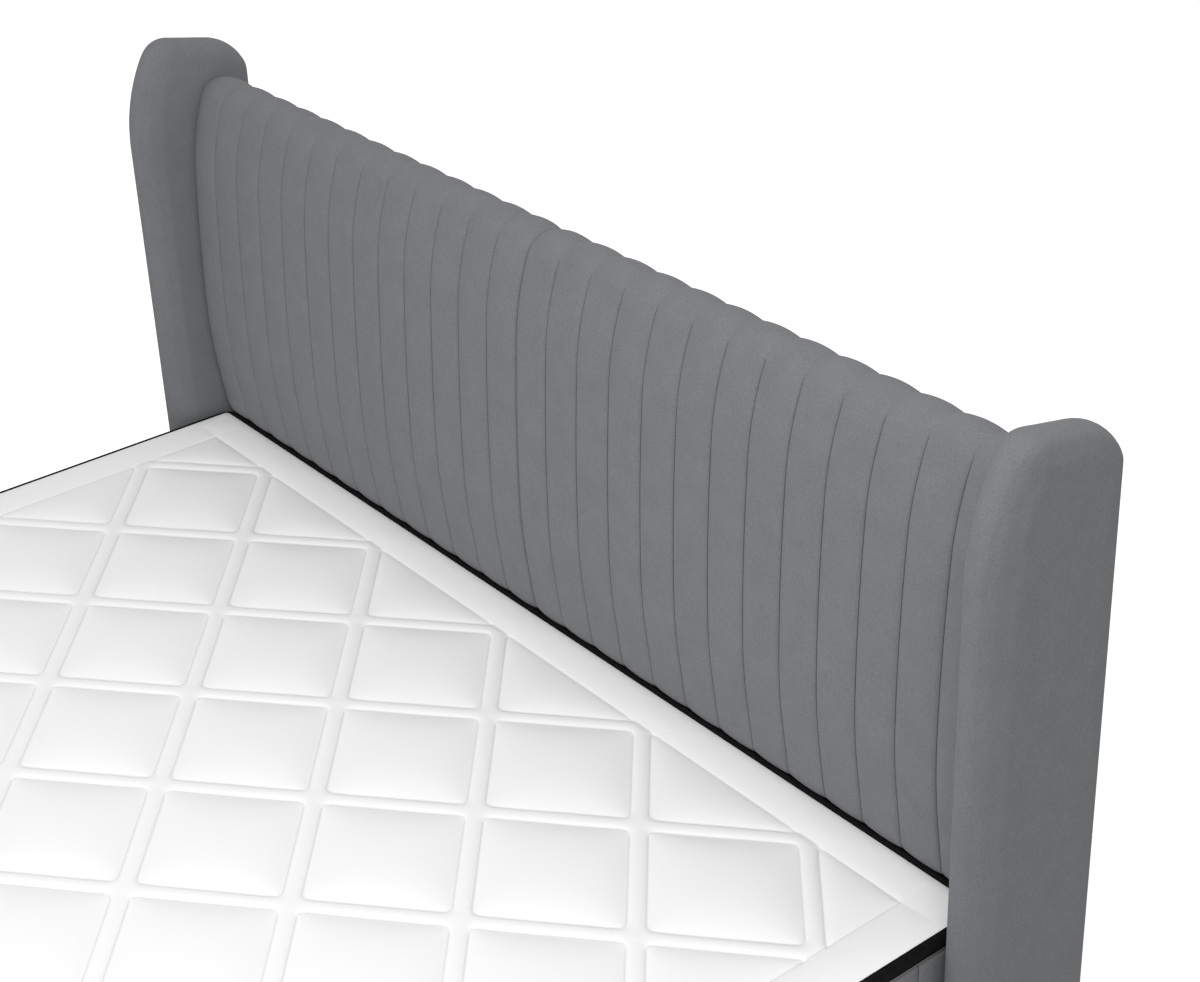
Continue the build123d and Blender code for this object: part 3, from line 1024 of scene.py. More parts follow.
@dataclass
class HeadboardPads:
    """The two channelled pads of the headboard.

    Places are depths from the headboard's back, with heights over the mattress.
    """

    datum: Datum
    pitch: float = 0.0685
    belly: tuple[float, float] = (0.1475, 0.205)
    upper: tuple[float, float] = (0.137, 0.460)
    shoulder: tuple[float, float] = (0.108, 0.582)
    crest: tuple[float, float] = (0.0695, 0.606)
    roll: tuple[float, float] = (0.031, 0.585)
    nape: tuple[float, float] = (0.002, 0.549)
    waist: tuple[float, float] = (0.141, 0.100)
    foot: tuple[float, float] = (0.130, 0.018)
    tuck: tuple[float, float] = (0.111, -0.005)
    hem: tuple[float, float] = (0.064, -0.085)
    seam_depth: float = 0.0055
    middle_depth: float = 0.010
    end_depth: float = 0.018
    crest_seam_depth: float = 0.0043
    crest_middle_depth: float = 0.0085
    crest_end_depth: float = 0.012
    end_gap: float = 0.0003
    softness: float = 0.30
    roundness: float = 8.0
    end_roundness: float = 2.0
    columns: int = 12
    step: float = 0.010
    lip_parts: int = 4
    back_parts: int = 12
    stuffing: Stuffing = Stuffing(cap=0.0008)

    def build(self, side: Side, finish: bpy.types.Material) -> bpy.types.Object:
        """Build one pad, sewn into channels and puffed.

        Args:
            side: Which pad.
            finish: The upholstery.

        Returns:
            The pad.
        """
        shape = bmesh.new()
        self.draw(shape)
        sweep(shape, self.stations())
        bmesh.ops.scale(shape, vec=(side.value, 1, 1), verts=shape.verts)
        pad = finished(shape, f"headboard_cushion_{side.word}", finish)
        self.stuffing.puff(pad, stiff_or_sewn(pad))
        nodes = [f"headboard_{part}_{side.word}" for part in ("pad", "foam")]
        return hand_over(pad, "grey_fabric", *nodes)

    def draw(self, shape: Shape) -> None:
        """Draw the pad's closed side outline: its front from the belly both ways, then its back.

        Args:
            shape: The mesh to draw in.
        """
        at = self.datum.at
        upper = Outline(shape, at(*self.belly), UP, self.step)
        lower = Outline(shape, upper.first, -UP, self.step, facing=-1)
        for place in (self.waist, self.foot, self.tuck):
            lower.arc(at(*place))
        lower.arc(at(*self.hem), share_at_end=0)
        for place in (self.upper, self.shoulder, self.crest, self.roll):
            upper.arc(at(*place))
        upper.arc(at(*self.nape), share_at_end=0)
        lip = self.datum.frame_top - self.datum.mattress_top
        upper.line(at(self.nape[0], lip)).line(at(self.hem[0], lip), self.lip_parts)
        upper.line(lower.last, self.back_parts)

    def stations(self) -> list[Station]:
        """Place the pad's columns, from the middle of the bed to the wing.

        Returns:
            The stations.
        """
        count = round(self.datum.wing_inner_x / self.pitch)
        seams = [number * self.pitch for number in range(count)]
        seams.append(self.datum.wing_inner_x - self.end_gap)
        inner = count - 1
        depths = [self.middle_depth, *[self.seam_depth] * inner, self.end_depth]
        crests = [self.crest_middle_depth, *[self.crest_seam_depth] * inner, self.crest_end_depth]
        places = []
        for number in range(count):
            low, high = seams[number], seams[number + 1]
            for share in eased(self.columns)[min(number, 1):]:
                nearer = number if share < 0.5 else number + 1
                across = Matrix.Translation((low + (high - low) * share, 0, 0))
                slit = self.softness * arch(share)
                slit += (1 - self.softness) * fall(share, self.roundness)
                sunk = fall(share, self.end_roundness) if nearer == count else slit
                seam = float(share in (0, 1))
                over = crests[nearer] * arch(share)
                places.append(Station(across, depths[nearer] * sunk, seam, over))
        return places


@dataclass
class Wings:
    """The two tall padded wings at the headboard's ends, with places as in the pads."""

    datum: Datum
    depth: float = 0.223
    front_rise: float = 0.505
    brow: tuple[float, float] = (0.183, 0.651)
    crest: tuple[float, float] = (0.125, 0.671)
    slope: tuple[float, float] = (0.060, 0.657)
    nape_height: float = 0.603
    front_nose: float = 0.041
    top_nose: float = 0.020
    back_nose: float = 0.011
    turns: int = 12
    step: float = 0.012
    tall_parts: int = 40
    slope_parts: int = 6
    floor_parts: int = 10
    voxel: float = 0.006
    smoothing: float = 0.5
    passes: int = 2
    ridge: float = 0.7
    stuffing: Stuffing = Stuffing(cap=0.0015, bending=2.0)

    def nose(self, outward: Vector) -> float:
        """Work out how far the sleeve is drawn in at its faces.

        Args:
            outward: Where the outline looks there.

        Returns:
            The distance.
        """
        front = self.front_nose * max(-outward.y, 0) ** 2
        back = self.back_nose * max(outward.y, 0) ** 2
        return front + back + self.top_nose * max(outward.z, 0) ** 2

    def build(self, side: Side, finish: bpy.types.Material) -> bpy.types.Object:
        """Build one wing: a rounded sleeve, remeshed evenly and puffed.

        Args:
            side: Which wing.
            finish: The upholstery.

        Returns:
            The wing.
        """
        shape = bmesh.new()
        self.draw(shape)
        sweep(shape, self.stations())
        bmesh.ops.scale(shape, vec=(side.value, 1, 1), verts=shape.verts)
        wing = finished(shape, f"wing_sleeve_{side.word}", finish)
        self.remesh(wing)
        floor = self.datum.floor_gap
        inner = self.datum.wing_inner_x
        firm = [
            vert.index
            for vert in wing.data.vertices
            if vert.co.z < floor + self.voxel or abs(vert.normal.x) < self.ridge
        ]
        self.stuffing.puff(wing, firm, lambda place: self.rest(place, side, inner))
        return hand_over(wing, "grey_fabric", f"wing_cover_{side.word}")

    def rest(self, place: Vector, side: Side, inner: float) -> Vector:
        """A point of the sleeve, kept clear of the bed's side and the floor."""
        x = side.value * max(side.value * place.x, inner)
        return Vector((x, place.y, max(place.z, self.datum.floor_gap)))

    def draw(self, shape: Shape) -> None:
        """Draw the wing's side outline.

        Args:
            shape: The mesh to draw in.
        """
        at = self.datum.at
        floor = self.datum.floor_gap - self.datum.mattress_top
        line = Outline(shape, at(self.depth, floor), UP, self.step, give=self.nose)
        line.line(at(self.depth, self.front_rise), self.tall_parts, soft=True)
        line.arc(at(*self.brow)).arc(at(*self.crest))
        line.line(at(*self.slope), self.slope_parts, soft=True)
        line.arc(at(0, self.nape_height)).line(at(0, floor), self.tall_parts, soft=True)
        line.line(line.first, self.floor_parts)

    def stations(self) -> list[Station]:
        """Place the slices through the wing's thickness, crowded towards its two faces.

        Returns:
            The stations.
        """
        low, high = self.datum.wing_inner_x, self.datum.wing_outer_x
        places = []
        for share in even(self.turns):
            lean = math.pi * (share - 0.5)
            x = (low + high) / 2 + (high - low) / 2 * math.sin(lean)
            places.append(Station(Matrix.Translation((x, 0, 0)), 1 - math.cos(lean)))
        return places

    def remesh(self, wing: bpy.types.Object) -> None:
        """Cover the sleeve with even small faces.

        Args:
            wing: The sleeve.
        """
        skin = wing.modifiers.new("remesh", "REMESH")
        skin.mode = "VOXEL"
        skin.voxel_size = self.voxel
        skin.use_smooth_shade = True
        covered = wing.evaluated_get(bpy.context.evaluated_depsgraph_get())
        even_mesh = bpy.data.meshes.new_from_object(covered)
        wing.modifiers.remove(skin)
        coarse, wing.data = wing.data, even_mesh
        even_mesh.name = wing.name
        bpy.data.meshes.remove(coarse)
        shape = bmesh.new()
        shape.from_mesh(even_mesh)
        axes = {f"use_axis_{axis}": True for axis in "xyz"}
        for _ in range(self.passes):
            bmesh.ops.smooth_vert(shape, verts=shape.verts, factor=self.smoothing, **axes)
        shape.to_mesh(even_mesh)
        shape.free()


@dataclass
class Plan:
    """A plan of the bed with rounded corners, walked from the head's left corner round the foot."""

    half_x: float
    foot_y: float
    head_y: float
    radius: float
    corner_steps: int = 5

    def straight(self, side: Side, marks: Iterable[Mark]) -> list[Station]:
        """Place stations along a long side.

        Args:
            side: Which side.
            marks: The marks, measured from the foot end.

        Returns:
            The stations, in walking order.
        """
        ordered = sorted(marks, reverse=side is Side.LEFT)
        turn = Matrix.Rotation(side.value * QUARTER, 4, "Z")
        x = side.value * self.half_x
        return [
            Station(Matrix.Translation((x, self.foot_y + along, 0)) @ turn, inset, seam)
            for along, inset, seam in ordered
        ]

    def end(self, y: float, turn: float, marks: Iterable[Mark]) -> list[Station]:
        """Place stations across the foot or the head.

        Args:
            y: Where the end lies.
            turn: The angle walked in, 0 at the foot.
            marks: The marks, measured from the end's first corner.

        Returns:
            The stations, in walking order.
        """
        way = Matrix.Rotation(turn, 4, "Z")
        along = 1 if turn == 0 else -1
        return [
            Station(Matrix.Translation((along * (mark - self.half_x), y, 0)) @ way, inset, seam)
            for mark, inset, seam in marks
        ]

    def corner(self, x_side: int, y_side: int, start_turn: float) -> list[Station]:
        """Place stations round one corner, over a quarter turn.

        Args:
            x_side: The corner's side, by the sign of X.
            y_side: 1 at the head, -1 at the foot.
            start_turn: The angle walked in before the corner.

        Returns:
            The stations, in walking order.
        """
        x = x_side * (self.half_x - self.radius)
        y = self.head_y - self.radius if y_side > 0 else self.foot_y + self.radius
        middle, out = Matrix.Translation((x, y, 0)), Matrix.Translation((0, -self.radius, 0))
        turns = [start_turn + share * QUARTER for share in even(self.corner_steps)[1:-1]]
        return [Station(middle @ Matrix.Rotation(turn, 4, "Z") @ out) for turn in turns]

    def plain(self, length: float, parts: int) -> list[Mark]:
        """Marks along an unsewn side between its two corners."""
        span = length - 2 * self.radius
        return [(self.radius + span * share, 0.0, 0.0) for share in even(parts)]

    def loop(
        self, long_marks: list[Mark], foot_marks: list[Mark], head_marks: list[Mark] | None = None
    ) -> list[Station]:
        """Place all the stations in walking order, with the head end if it has marks.

        Args:
            long_marks: Marks of the long sides.
            foot_marks: Marks of the foot end.
            head_marks: Marks of the head end, or None where it is open.

        Returns:
            The stations.
        """
        stations = self.straight(Side.LEFT, long_marks) + self.corner(-1, -1, -QUARTER)
        stations += self.end(self.foot_y, 0, foot_marks) + self.corner(1, -1, 0)
        stations += self.straight(Side.RIGHT, long_marks)
        if head_marks:
            stations += self.corner(1, 1, QUARTER)
            stations += self.end(self.head_y, 2 * QUARTER, head_marks)
            stations += self.corner(-1, 1, 2 * QUARTER)
        return stations


@dataclass
class ChannelledSide:
    """A padded, channelled fabric side round the base or the mattress."""

    plan: Plan
    bottom: float
    top: float
    closed: bool
    pitch: float = 0.070
    end_channel: float = 0.059
    thickness: float = 0.030
    edge_radius: float = 0.009
    seam_depth: float = 0.004
    roundness: float = 2.8
    cuts: tuple[float, ...] = (0.0, 0.017, 0.07, 0.25, 0.5, 0.75, 0.93, 0.983)
    first_cuts: tuple[float, ...] = (0.35, 0.44, 0.49)
    last_cuts: tuple[float, ...] = (0.01, 0.06, 0.15)
    rows: int = 12
    back_parts: int = 6
    edge_parts: int = 2
    head_parts: int = 24
    stuffing: Stuffing = Stuffing(cap=0.0015)

    def marks(self, length: float, open_end: bool) -> list[Mark]:
        """Mark out a sewn side, from one corner to the other or to an open end.

        Args:
            length: The side's length, corners included.
            open_end: Whether its far end is cut off square, without a corner.

        Returns:
            The marks.
        """
        count = round((length - 2 * self.end_channel) / self.pitch)
        pitch = (length - 2 * self.end_channel) / count
        radius = self.plan.radius
        finish = length if open_end else length - radius
        wide = 2 * self.end_channel
        marks = [(radius, 0.0, 0.0)]
        marks += [(wide * share, self.sunk(share), 0.0) for share in self.first_cuts]
        for number in range(count):
            for share in self.cuts:
                place = self.end_channel + (number + share) * pitch
                marks.append((place, self.sunk(share), float(share == 0)))
        last = length - self.end_channel
        marks += [(last, self.seam_depth, 1.0)]
        marks += [(last + wide * share, self.sunk(share), 0.0) for share in self.last_cuts]
        return marks + [(finish, 0.0, 0.0)]

    def sunk(self, share: float) -> float:
        """How far a channel is drawn in at a share of its width."""
        return self.seam_depth * fall(share, self.roundness)

    def build(self, name: str, finish: bpy.types.Material, *nodes: str) -> bpy.types.Object:
        """Build the side as one wrap.

        Args:
            name: The piece's name.
            finish: The upholstery.
            nodes: The frame's nodes that it stands for.

        Returns:
            The side.
        """
        shape = bmesh.new()
        radius, plan = self.edge_radius, self.plan
        line = Outline(shape, Vector((0, radius, self.bottom)), Vector((0, -1, 0)), radius / 2)
        line.arc(Vector((0, 0, self.bottom + radius)))
        line.line(Vector((0, 0, self.top - radius)), self.rows, soft=True)
        line.arc(Vector((0, radius, self.top)))
        line.line(Vector((0, self.thickness, self.top)), self.edge_parts)
        line.line(Vector((0, self.thickness, self.bottom)), self.back_parts)
        line.line(line.first, self.edge_parts)
        long_marks = self.marks(plan.head_y - plan.foot_y, not self.closed)
        foot_marks = self.marks(2 * plan.half_x, False)
        head_marks = plan.plain(2 * plan.half_x, self.head_parts) if self.closed else None
        sweep(shape, plan.loop(long_marks, foot_marks, head_marks), self.closed)
        side = finished(shape, name, finish)
        self.stuffing.puff(side, stiff_or_sewn(side))
        return hand_over(side, "grey_fabric", *nodes)


@dataclass
class QuiltedTop:
    """The white panel: diamonds in stitched grooves between flat bands, inside a plain border."""

    datum: Datum
    border: float = 0.063
    repeats_across: int = 5
    repeats_along: float = 6.5
    band: float = 0.024
    groove: float = 0.0035
    groove_reach: float = 0.0020
    groove_edge: float = 0.0018
    groove_corner: float = 0.008
    band_rise: float = 0.0008
    crown: float = 0.0060
    crown_fullness: float = 3
    crown_fade: float = 0.05
    border_crown: float = 0.0022
    border_fullness: float = 2.2
    border_seam: float = 0.0022
    border_reach: float = 0.006
    border_stitch: float = 0.0016
    overhang: tuple[float, float] = (0.007, 0.001)
    lip: float = 0.0024
    edge_drop: float = 0.0018
    corner_radius: float = 0.012
    corner_cuts: tuple[float, ...] = (0.2, 0.5, 0.8)
    weld: float = 0.0007
    hem_lines: tuple[float, ...] = (0.0012, 0.004, 0.011)
    interior_steps: int = 8
    stuffing: Stuffing = Stuffing(cap=0.003)

    def __post_init__(self) -> None:
        """Read the panel's box and work out its lattice."""
        self.low, self.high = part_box("mattress_top_panel")
        self.surface = self.datum.mattress_top
        over = Vector((*self.overhang, 0))
        self.rim_low, self.rim_high = self.low - over, self.high + over
        self.seam_x = self.high.x - self.border
        self.seam_head = self.high.y - self.border
        self.seam_foot = self.low.y + self.border
        self.across = 2 * self.seam_x / self.repeats_across
        self.along = (self.seam_head - self.seam_foot) / self.repeats_along
        self.spacing = self.across * self.along / math.hypot(self.across, self.along)
        self.band_share = self.band / 2 / self.spacing

    def stops(self) -> list[float]:
        """Place the mesh lines in one repeat: the band, three to a groove, then the crown.

        Returns:
            The lines, as shares of the repeat.
        """
        edge = self.band_share
        lip = self.groove_edge / self.spacing
        rise = [0.0, edge / 2, edge - lip, edge]
        wide = 1 - 2 * (edge + lip)
        inside = [edge + lip + wide * share for share in eased(self.interior_steps)]
        return rise + inside + [1 - share for share in reversed(rise[1:])]

    def build(self, finish: bpy.types.Material) -> bpy.types.Object:
        """Build the panel.

        Args:
            finish: The ticking.

        Returns:
            The panel.
        """
        shape = bmesh.new()
        self.lay_lattice(shape)
        self.trim(shape)
        self.raise_relief(shape)
        for height in (self.surface - self.lip, self.low.z):
            rim = [edge for edge in shape.edges if edge.is_boundary]
            made = bmesh.ops.extrude_edge_only(shape, edges=rim)["geom"]
            for vert in (item for item in made if isinstance(item, Vert)):
                x = min(max(vert.co.x, self.low.x), self.high.x)
                vert.co = Vector((x, min(max(vert.co.y, self.low.y), self.high.y), height))
        base = [edge for edge in shape.edges if edge.is_boundary]
        bmesh.ops.triangle_fill(shape, edges=base, use_beauty=True)
        panel = finished(shape, "quilted_top_panel", finish)
        seams = panel.data.attributes[Tag.SEAM.value].data
        sewn = [
            vert.index
            for vert in panel.data.vertices
            if seams[vert.index].value > ON_SEAM
            or vert.co.z < self.surface - self.lip
            or self.to_edge(vert.co.x, vert.co.y) < self.hem_lines[-1]
        ]
        self.stuffing.puff(panel, sewn)
        return hand_over(panel, "white_quilt", "mattress_top_panel")

    def to_edge(self, x: float, y: float) -> float:
        """How far a point lies inside the panel's rim."""
        return min(self.rim_high.x - abs(x), self.rim_high.y - y, y - self.rim_low.y)

    def lay_lattice(self, shape: Shape) -> None:
        """Lay a slanted grid whose lines follow the stitching over the whole panel.

        Args:
            shape: The mesh to lay it in.
        """
        stops = self.stops()
        beyond = self.border / self.along
        past = math.ceil(self.repeats_across / 2 + beyond)
        before = math.ceil(self.repeats_across / 2 + self.repeats_along + beyond)
        count = (past + before) * len(stops)
        bmesh.ops.create_grid(shape, x_segments=count, y_segments=count, size=count / 2)

        def place(line: float) -> float:
            """A grid line's place, in repeats from the grid's first line."""
            number = round(line + count / 2)
            return number // len(stops) + stops[number % len(stops)]

        for vert in shape.verts:
            one = place(vert.co.x) - before
            two = place(vert.co.y) - past
            x = (one + two) * self.across / 2
            vert.co = Vector((x, self.seam_head + (one - two) * self.along / 2, self.surface))

    def trim(self, shape: Shape) -> None:
        """Cut the grid to the panel's outline, and cut the border's seam into it.

        Args:
            shape: The mesh with the grid.
        """
        middle_y = (self.rim_high.y + self.rim_low.y) / 2
        half_y = (self.rim_high.y - self.rim_low.y) / 2
        half_seam = (self.seam_head - self.seam_foot) / 2
        reach, stitch = self.border_reach, self.border_stitch
        for x, y in ((1, 0), (-1, 0), (0, 1), (0, -1)):
            way = Vector((x, y, 0))
            edge = Vector((x * self.rim_high.x, middle_y + y * half_y, 0))
            self.cut(shape, edge, way, clear=True)
            seam = Vector((x * self.seam_x, middle_y + y * half_seam, 0))
            for shift in self.hem_lines:
                self.cut(shape, edge - way * shift, way)
            for shift in (-reach, -stitch, 0, stitch, reach):
                self.cut(shape, seam + way * shift, way)
        radius = self.corner_radius
        for x_side, y_side in ((1, 1), (1, -1), (-1, 1), (-1, -1)):
            x, y = x_side * (self.rim_high.x - radius), middle_y + y_side * (half_y - radius)
            for share in self.corner_cuts:
                lean = share * QUARTER
                out = Vector((x_side * math.cos(lean), y_side * math.sin(lean), 0))
                self.cut(shape, Vector((x, y, 0)) + out * radius, out, clear=True)
        bmesh.ops.remove_doubles(shape, verts=shape.verts, dist=self.weld)

    def cut(self, shape: Shape, place: Vector, normal: Vector, clear: bool = False) -> None:
        """Cut the grid along one upright plane.

        Args:
            shape: The mesh.
            place: A point of the plane.
            normal: The direction that the plane looks in.
            clear: Whether to drop what lies beyond it.
        """
        geom = list(shape.verts) + list(shape.edges) + list(shape.faces)
        bmesh.ops.bisect_plane(
            shape, geom=geom, dist=TOUCH, plane_co=place, plane_no=normal, clear_outer=clear
        )

    def raise_relief(self, shape: Shape) -> None:
        """Sink the grooves, crown the diamonds and the border, and mark the stitching.

        Args:
            shape: The mesh.
        """
        seams = shape.verts.layers.float.new(Tag.SEAM.value)
        for vert in shape.verts:
            vert[seams], rise = self.relief(vert.co.x, vert.co.y)
            vert.co.z = self.surface + rise

    def relief(self, x: float, y: float) -> tuple[float, float]:
        """Work out the relief at one place.

        Args:
            x: The place's X.
            y: The place's Y.

        Returns:
            The nearness to the stitching, from 0 to 1, and the height over the panel's flat.
        """
        outside = max(abs(x) - self.seam_x, y - self.seam_head, self.seam_foot - y)
        to_edge = self.to_edge(x, y)
        border_mark = math.exp(-((outside / self.border_reach) ** 2))
        border_line = math.exp(-((outside / self.border_stitch) ** 2))
        if outside > 0:
            share = min(1, outside / (outside + to_edge)) if to_edge > 0 else 1
            rise = self.border_crown * (1 - abs(2 * share - 1) ** self.border_fullness)
            drop = self.edge_drop * max(0.0, 1 - to_edge / self.corner_radius) ** 2
            return border_line, rise - self.border_seam * border_mark - drop
        one = (x / self.across + (y - self.seam_head) / self.along) % 1
        two = (x / self.across - (y - self.seam_head) / self.along) % 1
        edge = self.band_share
        aside_one = (min(one, 1 - one) - edge) * self.spacing
        aside_two = (min(two, 1 - two) - edge) * self.spacing
        round_off = self.groove_corner
        inside = min(aside_one, aside_two)
        if aside_one < round_off and aside_two < round_off:
            inside = round_off - math.hypot(round_off - aside_one, round_off - aside_two)
        mark = 1 / (1 + (inside / self.groove_reach) ** 2)
        rise = self.band_rise
        if inside > 0:
            wide = self.spacing * (0.5 - edge)
            rise = self.crown
            for aside in (aside_one, aside_two):
                rise *= 1 - max(0.0, 1 - aside / wide) ** self.crown_fullness
            rise *= min(1.0, max(0.0, -outside) / self.crown_fade)
        rise -= self.groove * mark + self.border_seam * border_mark
        # The stitch nearness also pins the cloth and sets the ticking's painted groove shade.
        stitch = math.exp(-((inside / self.groove_reach) ** 2))
        return max(stitch, border_line), rise


@dataclass
class MattressTrim:
    """The black mesh band round the mattress's top edge, and the beige piping under it."""

    datum: Datum
    plan: Plan
    band_width: float = 0.018
    band_height: float = 0.013
    press: float = 0.0015
    roll_inset: float = 0.0085
    seam_inset: float = 0.0135
    seam_drop: float = 0.003
    lip_height: float = 0.005
    lip_inset: float = 0.007
    piping_radius: float = 0.0025
    piping_sides: int = 10
    side_parts: int = 30
    inner_parts: int = 2
    step: float = 0.0015

    def stations(self) -> list[Station]:
        """Place plain stations all round.

        Returns:
            The stations.
        """
        plan = self.plan
        long_marks = plan.plain(plan.head_y - plan.foot_y, self.side_parts)
        short_marks = plan.plain(2 * plan.half_x, self.side_parts)
        return plan.loop(long_marks, short_marks, short_marks)

    def band(self, finish: bpy.types.Material) -> bpy.types.Object:
        """Build the mesh band: a soft roll that dips to the quilt's seam and meets the piping.

        Args:
            finish: The spacer mesh.

        Returns:
            The band.
        """
        top = self.datum.mattress_top
        bottom = top - self.band_height - self.press
        foot = top - self.band_height - self.lip_height
        seam = top - self.seam_drop
        shape = bmesh.new()
        line = Outline(shape, Vector((0, 0, bottom)), UP, self.step)
        line.arc(Vector((0, self.roll_inset, top))).arc(Vector((0, self.seam_inset, seam)))
        for place in ((self.band_width, seam), (self.band_width, foot), (self.lip_inset, foot)):
            line.line(Vector((0, *place)), self.inner_parts)
        line.line(Vector((0, self.lip_inset, bottom))).line(line.first)
        sweep(shape, self.stations(), closed=True)
        band = finished(shape, "mesh_edge_band", finish)
        return hand_over(band, "black_mesh", "mattress_shoulder", levels=0)

    def piping(self, finish: bpy.types.Material) -> bpy.types.Object:
        """Build the piping, which lies in the notch under the band.

        Args:
            finish: The piping's cover.

        Returns:
            The piping.
        """
        radius = self.piping_radius
        z = self.datum.mattress_top - self.band_height - self.lip_height + radius
        shape = bmesh.new()
        lie = Matrix.Translation((0, radius, z)) @ Matrix.Rotation(QUARTER, 4, "Y")
        bmesh.ops.create_circle(shape, segments=self.piping_sides, radius=radius, matrix=lie)
        sweep(shape, self.stations(), closed=True)
        piping = finished(shape, "edge_piping", finish)
        return hand_over(piping, "beige_piping", "mattress_piping", levels=0)


@dataclass
class Slab:
    """A plain inner block of foam or felt, with softened edges."""

    node: str
    name: str
    radius: float = 0.006
    largest_share: float = 1 / 3
    segments: int = 3

    def build(self, finish: bpy.types.Material, slot: str) -> bpy.types.Object:
        """Build the block in its node's box.

        Args:
            finish: Its material.
            slot: The record's material slot.

        Returns:
            The block.
        """
        low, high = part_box(self.node)
        size = high - low
        shape = bmesh.new()
        stand = Matrix.Translation((low + high) / 2) @ Matrix.Diagonal((*size, 1))
        bmesh.ops.create_cube(shape, size=1, matrix=stand)
        bmesh.ops.bevel(
            shape,
            geom=list(shape.edges),
            offset=min(self.radius, min(size) * self.largest_share),
            segments=self.segments,
            profile=0.5,
            affect="EDGES",
            material=-1,
        )
        slab = finished(shape, self.name, finish)
        return hand_over(slab, slot, self.node, levels=0)


@dataclass
class BackCloth:
    """The thin cloth stapled over the headboard's back, a little puckered between staples."""

    node: str = "headboard_back_cloth"
    thickness: float = 0.0008
    pucker: float = 0.0004
    reach: float = 0.03
    staple_pitch: float = 0.09
    cells: tuple[int, int] = (120, 76)

    def build(self, finish: bpy.types.Material) -> bpy.types.Object:
        """Build the cloth.

        Args:
            finish: The backing cloth's material.

        Returns:
            The cloth.
        """
        low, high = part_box(self.node)
        size, middle = high - low, (low + high) / 2
        shape = bmesh.new()
        stand = Matrix.Translation(middle) @ Matrix.Rotation(QUARTER, 4, "X")
        fit = stand @ Matrix.Diagonal((size.x, size.z, 1, 1))
        columns, rows = self.cells
        bmesh.ops.create_grid(shape, x_segments=columns, y_segments=rows, size=0.5, matrix=fit)
        for vert in shape.verts:
            x, z = vert.co.x - low.x, vert.co.z - low.z
            for along, inside in ((x, min(z, size.z - z)), (z, min(x, size.x - x))):
                wave = math.cos(2 * math.pi * along / self.staple_pitch)
                vert.co.y += self.pucker * wave * math.exp(-inside / self.reach)
        cloth = finished(shape, "headboard_dust_cloth", finish)
        wall = cloth.modifiers.new("wall", "SOLIDIFY")
        wall.thickness, wall.offset = self.thickness, 0
        return hand_over(cloth, "dark_cloth", self.node, levels=0)


class Carcass:
    """Dresses the frame's own nodes: timber, board, plastic and steel."""

    PINE_ACROSS = ("headboard_top_rail", "headboard_bottom_rail")
    PINE_ALONG = ("ledger_left", "ledger_right", "centre_beam")
    PINE_UPRIGHT = (
        "headboard_post_centre", "headboard_post_left", "headboard_post_right",
        "corner_blocks", "centre_legs",
    )
    BOARD = (
        "headboard_carrier_left", "headboard_carrier_right", "headboard_lower_panel",
        "wing_core_left", "wing_core_right",
        "base_rail_foot", "base_rail_head", "base_rail_left", "base_rail_right",
    )
    STEEL = ("beam_brackets", "headboard_bolts", "wing_bolts")
    PLASTIC = (
        "floor_glides", "foot_back_left", "foot_back_right", "foot_front_left", "foot_front_right",
    )

    def __init__(self, nodes: dict[str, bpy.types.Object], finishes: Wardrobe) -> None:
        """Keep the frame's nodes and the finishes at hand."""
        self.nodes = nodes
        self.finishes = finishes

    def dress(self) -> None:
        """Give every node of the frame its material."""
        pine = self.finishes.pine
        slats = tuple(name for name in self.nodes if name.startswith("slat_"))
        for names, material in (
            (self.PINE_ACROSS + slats, pine[Grain.ACROSS]),
            (self.PINE_ALONG, pine[Grain.ALONG]),
            (self.PINE_UPRIGHT, pine[Grain.UPRIGHT]),
            (self.BOARD, self.finishes.board),
            (self.STEEL, self.finishes.zinc),
            (self.PLASTIC, self.finishes.plastic),
        ):
            for name in names:
                self.dress_one(self.nodes[name], material)

    def dress_one(self, node: bpy.types.Object, material: bpy.types.Material) -> None:
        """Put one material on every slot of a node.

        Args:
            node: The node's object.
            material: The material.
        """
        for slot in node.material_slots:
            slot.material = material
        if not node.material_slots:
            node.data.materials.append(material)
        log.info("%s: %s", node.name, material.name)


# Studio
@dataclass(frozen=True)
class Camera:
    """The photograph's camera: its place, its turn and its lens."""

    azimuth: float = 51.978
    elevation: float = 27.522
    roll: float = -2.116
    place: tuple[float, float, float] = (2.3124, -0.7334, 2.3989)
    focal_pixels: float = 2256.5
    centre: tuple[float, float] = (605.1, 421.3)
    sensor: float = 36.0
    near: float = 0.05
    far: float = 100.0

    def set_up(self) -> None:
        """Create the camera and make it the scene's."""
        lens = bpy.data.cameras.new("camera")
        lens.sensor_width = self.sensor
        lens.lens = self.focal_pixels * self.sensor / PICTURE_WIDTH
        lens.shift_x = (PICTURE_WIDTH / 2 - self.centre[0]) / PICTURE_WIDTH
        lens.shift_y = (self.centre[1] - PICTURE_HEIGHT / 2) / PICTURE_WIDTH
        lens.clip_start, lens.clip_end = self.near, self.far
        camera = bpy.data.objects.new("camera", lens)
        angles = (self.azimuth, self.elevation, self.roll)
        turn, lift, roll = (math.radians(angle) for angle in angles)
        level = math.cos(lift)
        back = Vector((math.sin(turn) * level, -math.cos(turn) * level, math.sin(lift)))
        right = Vector((math.cos(turn), math.sin(turn), 0))
        above = back.cross(right)
        rolled_right = right * math.cos(roll) + above * math.sin(roll)
        rolled_above = above * math.cos(roll) - right * math.sin(roll)
        axes = Matrix((rolled_right, rolled_above, back)).transposed()
        camera.matrix_world = Matrix.Translation(self.place) @ axes.to_4x4()
        bpy.context.scene.collection.objects.link(camera)
        bpy.context.scene.camera = camera


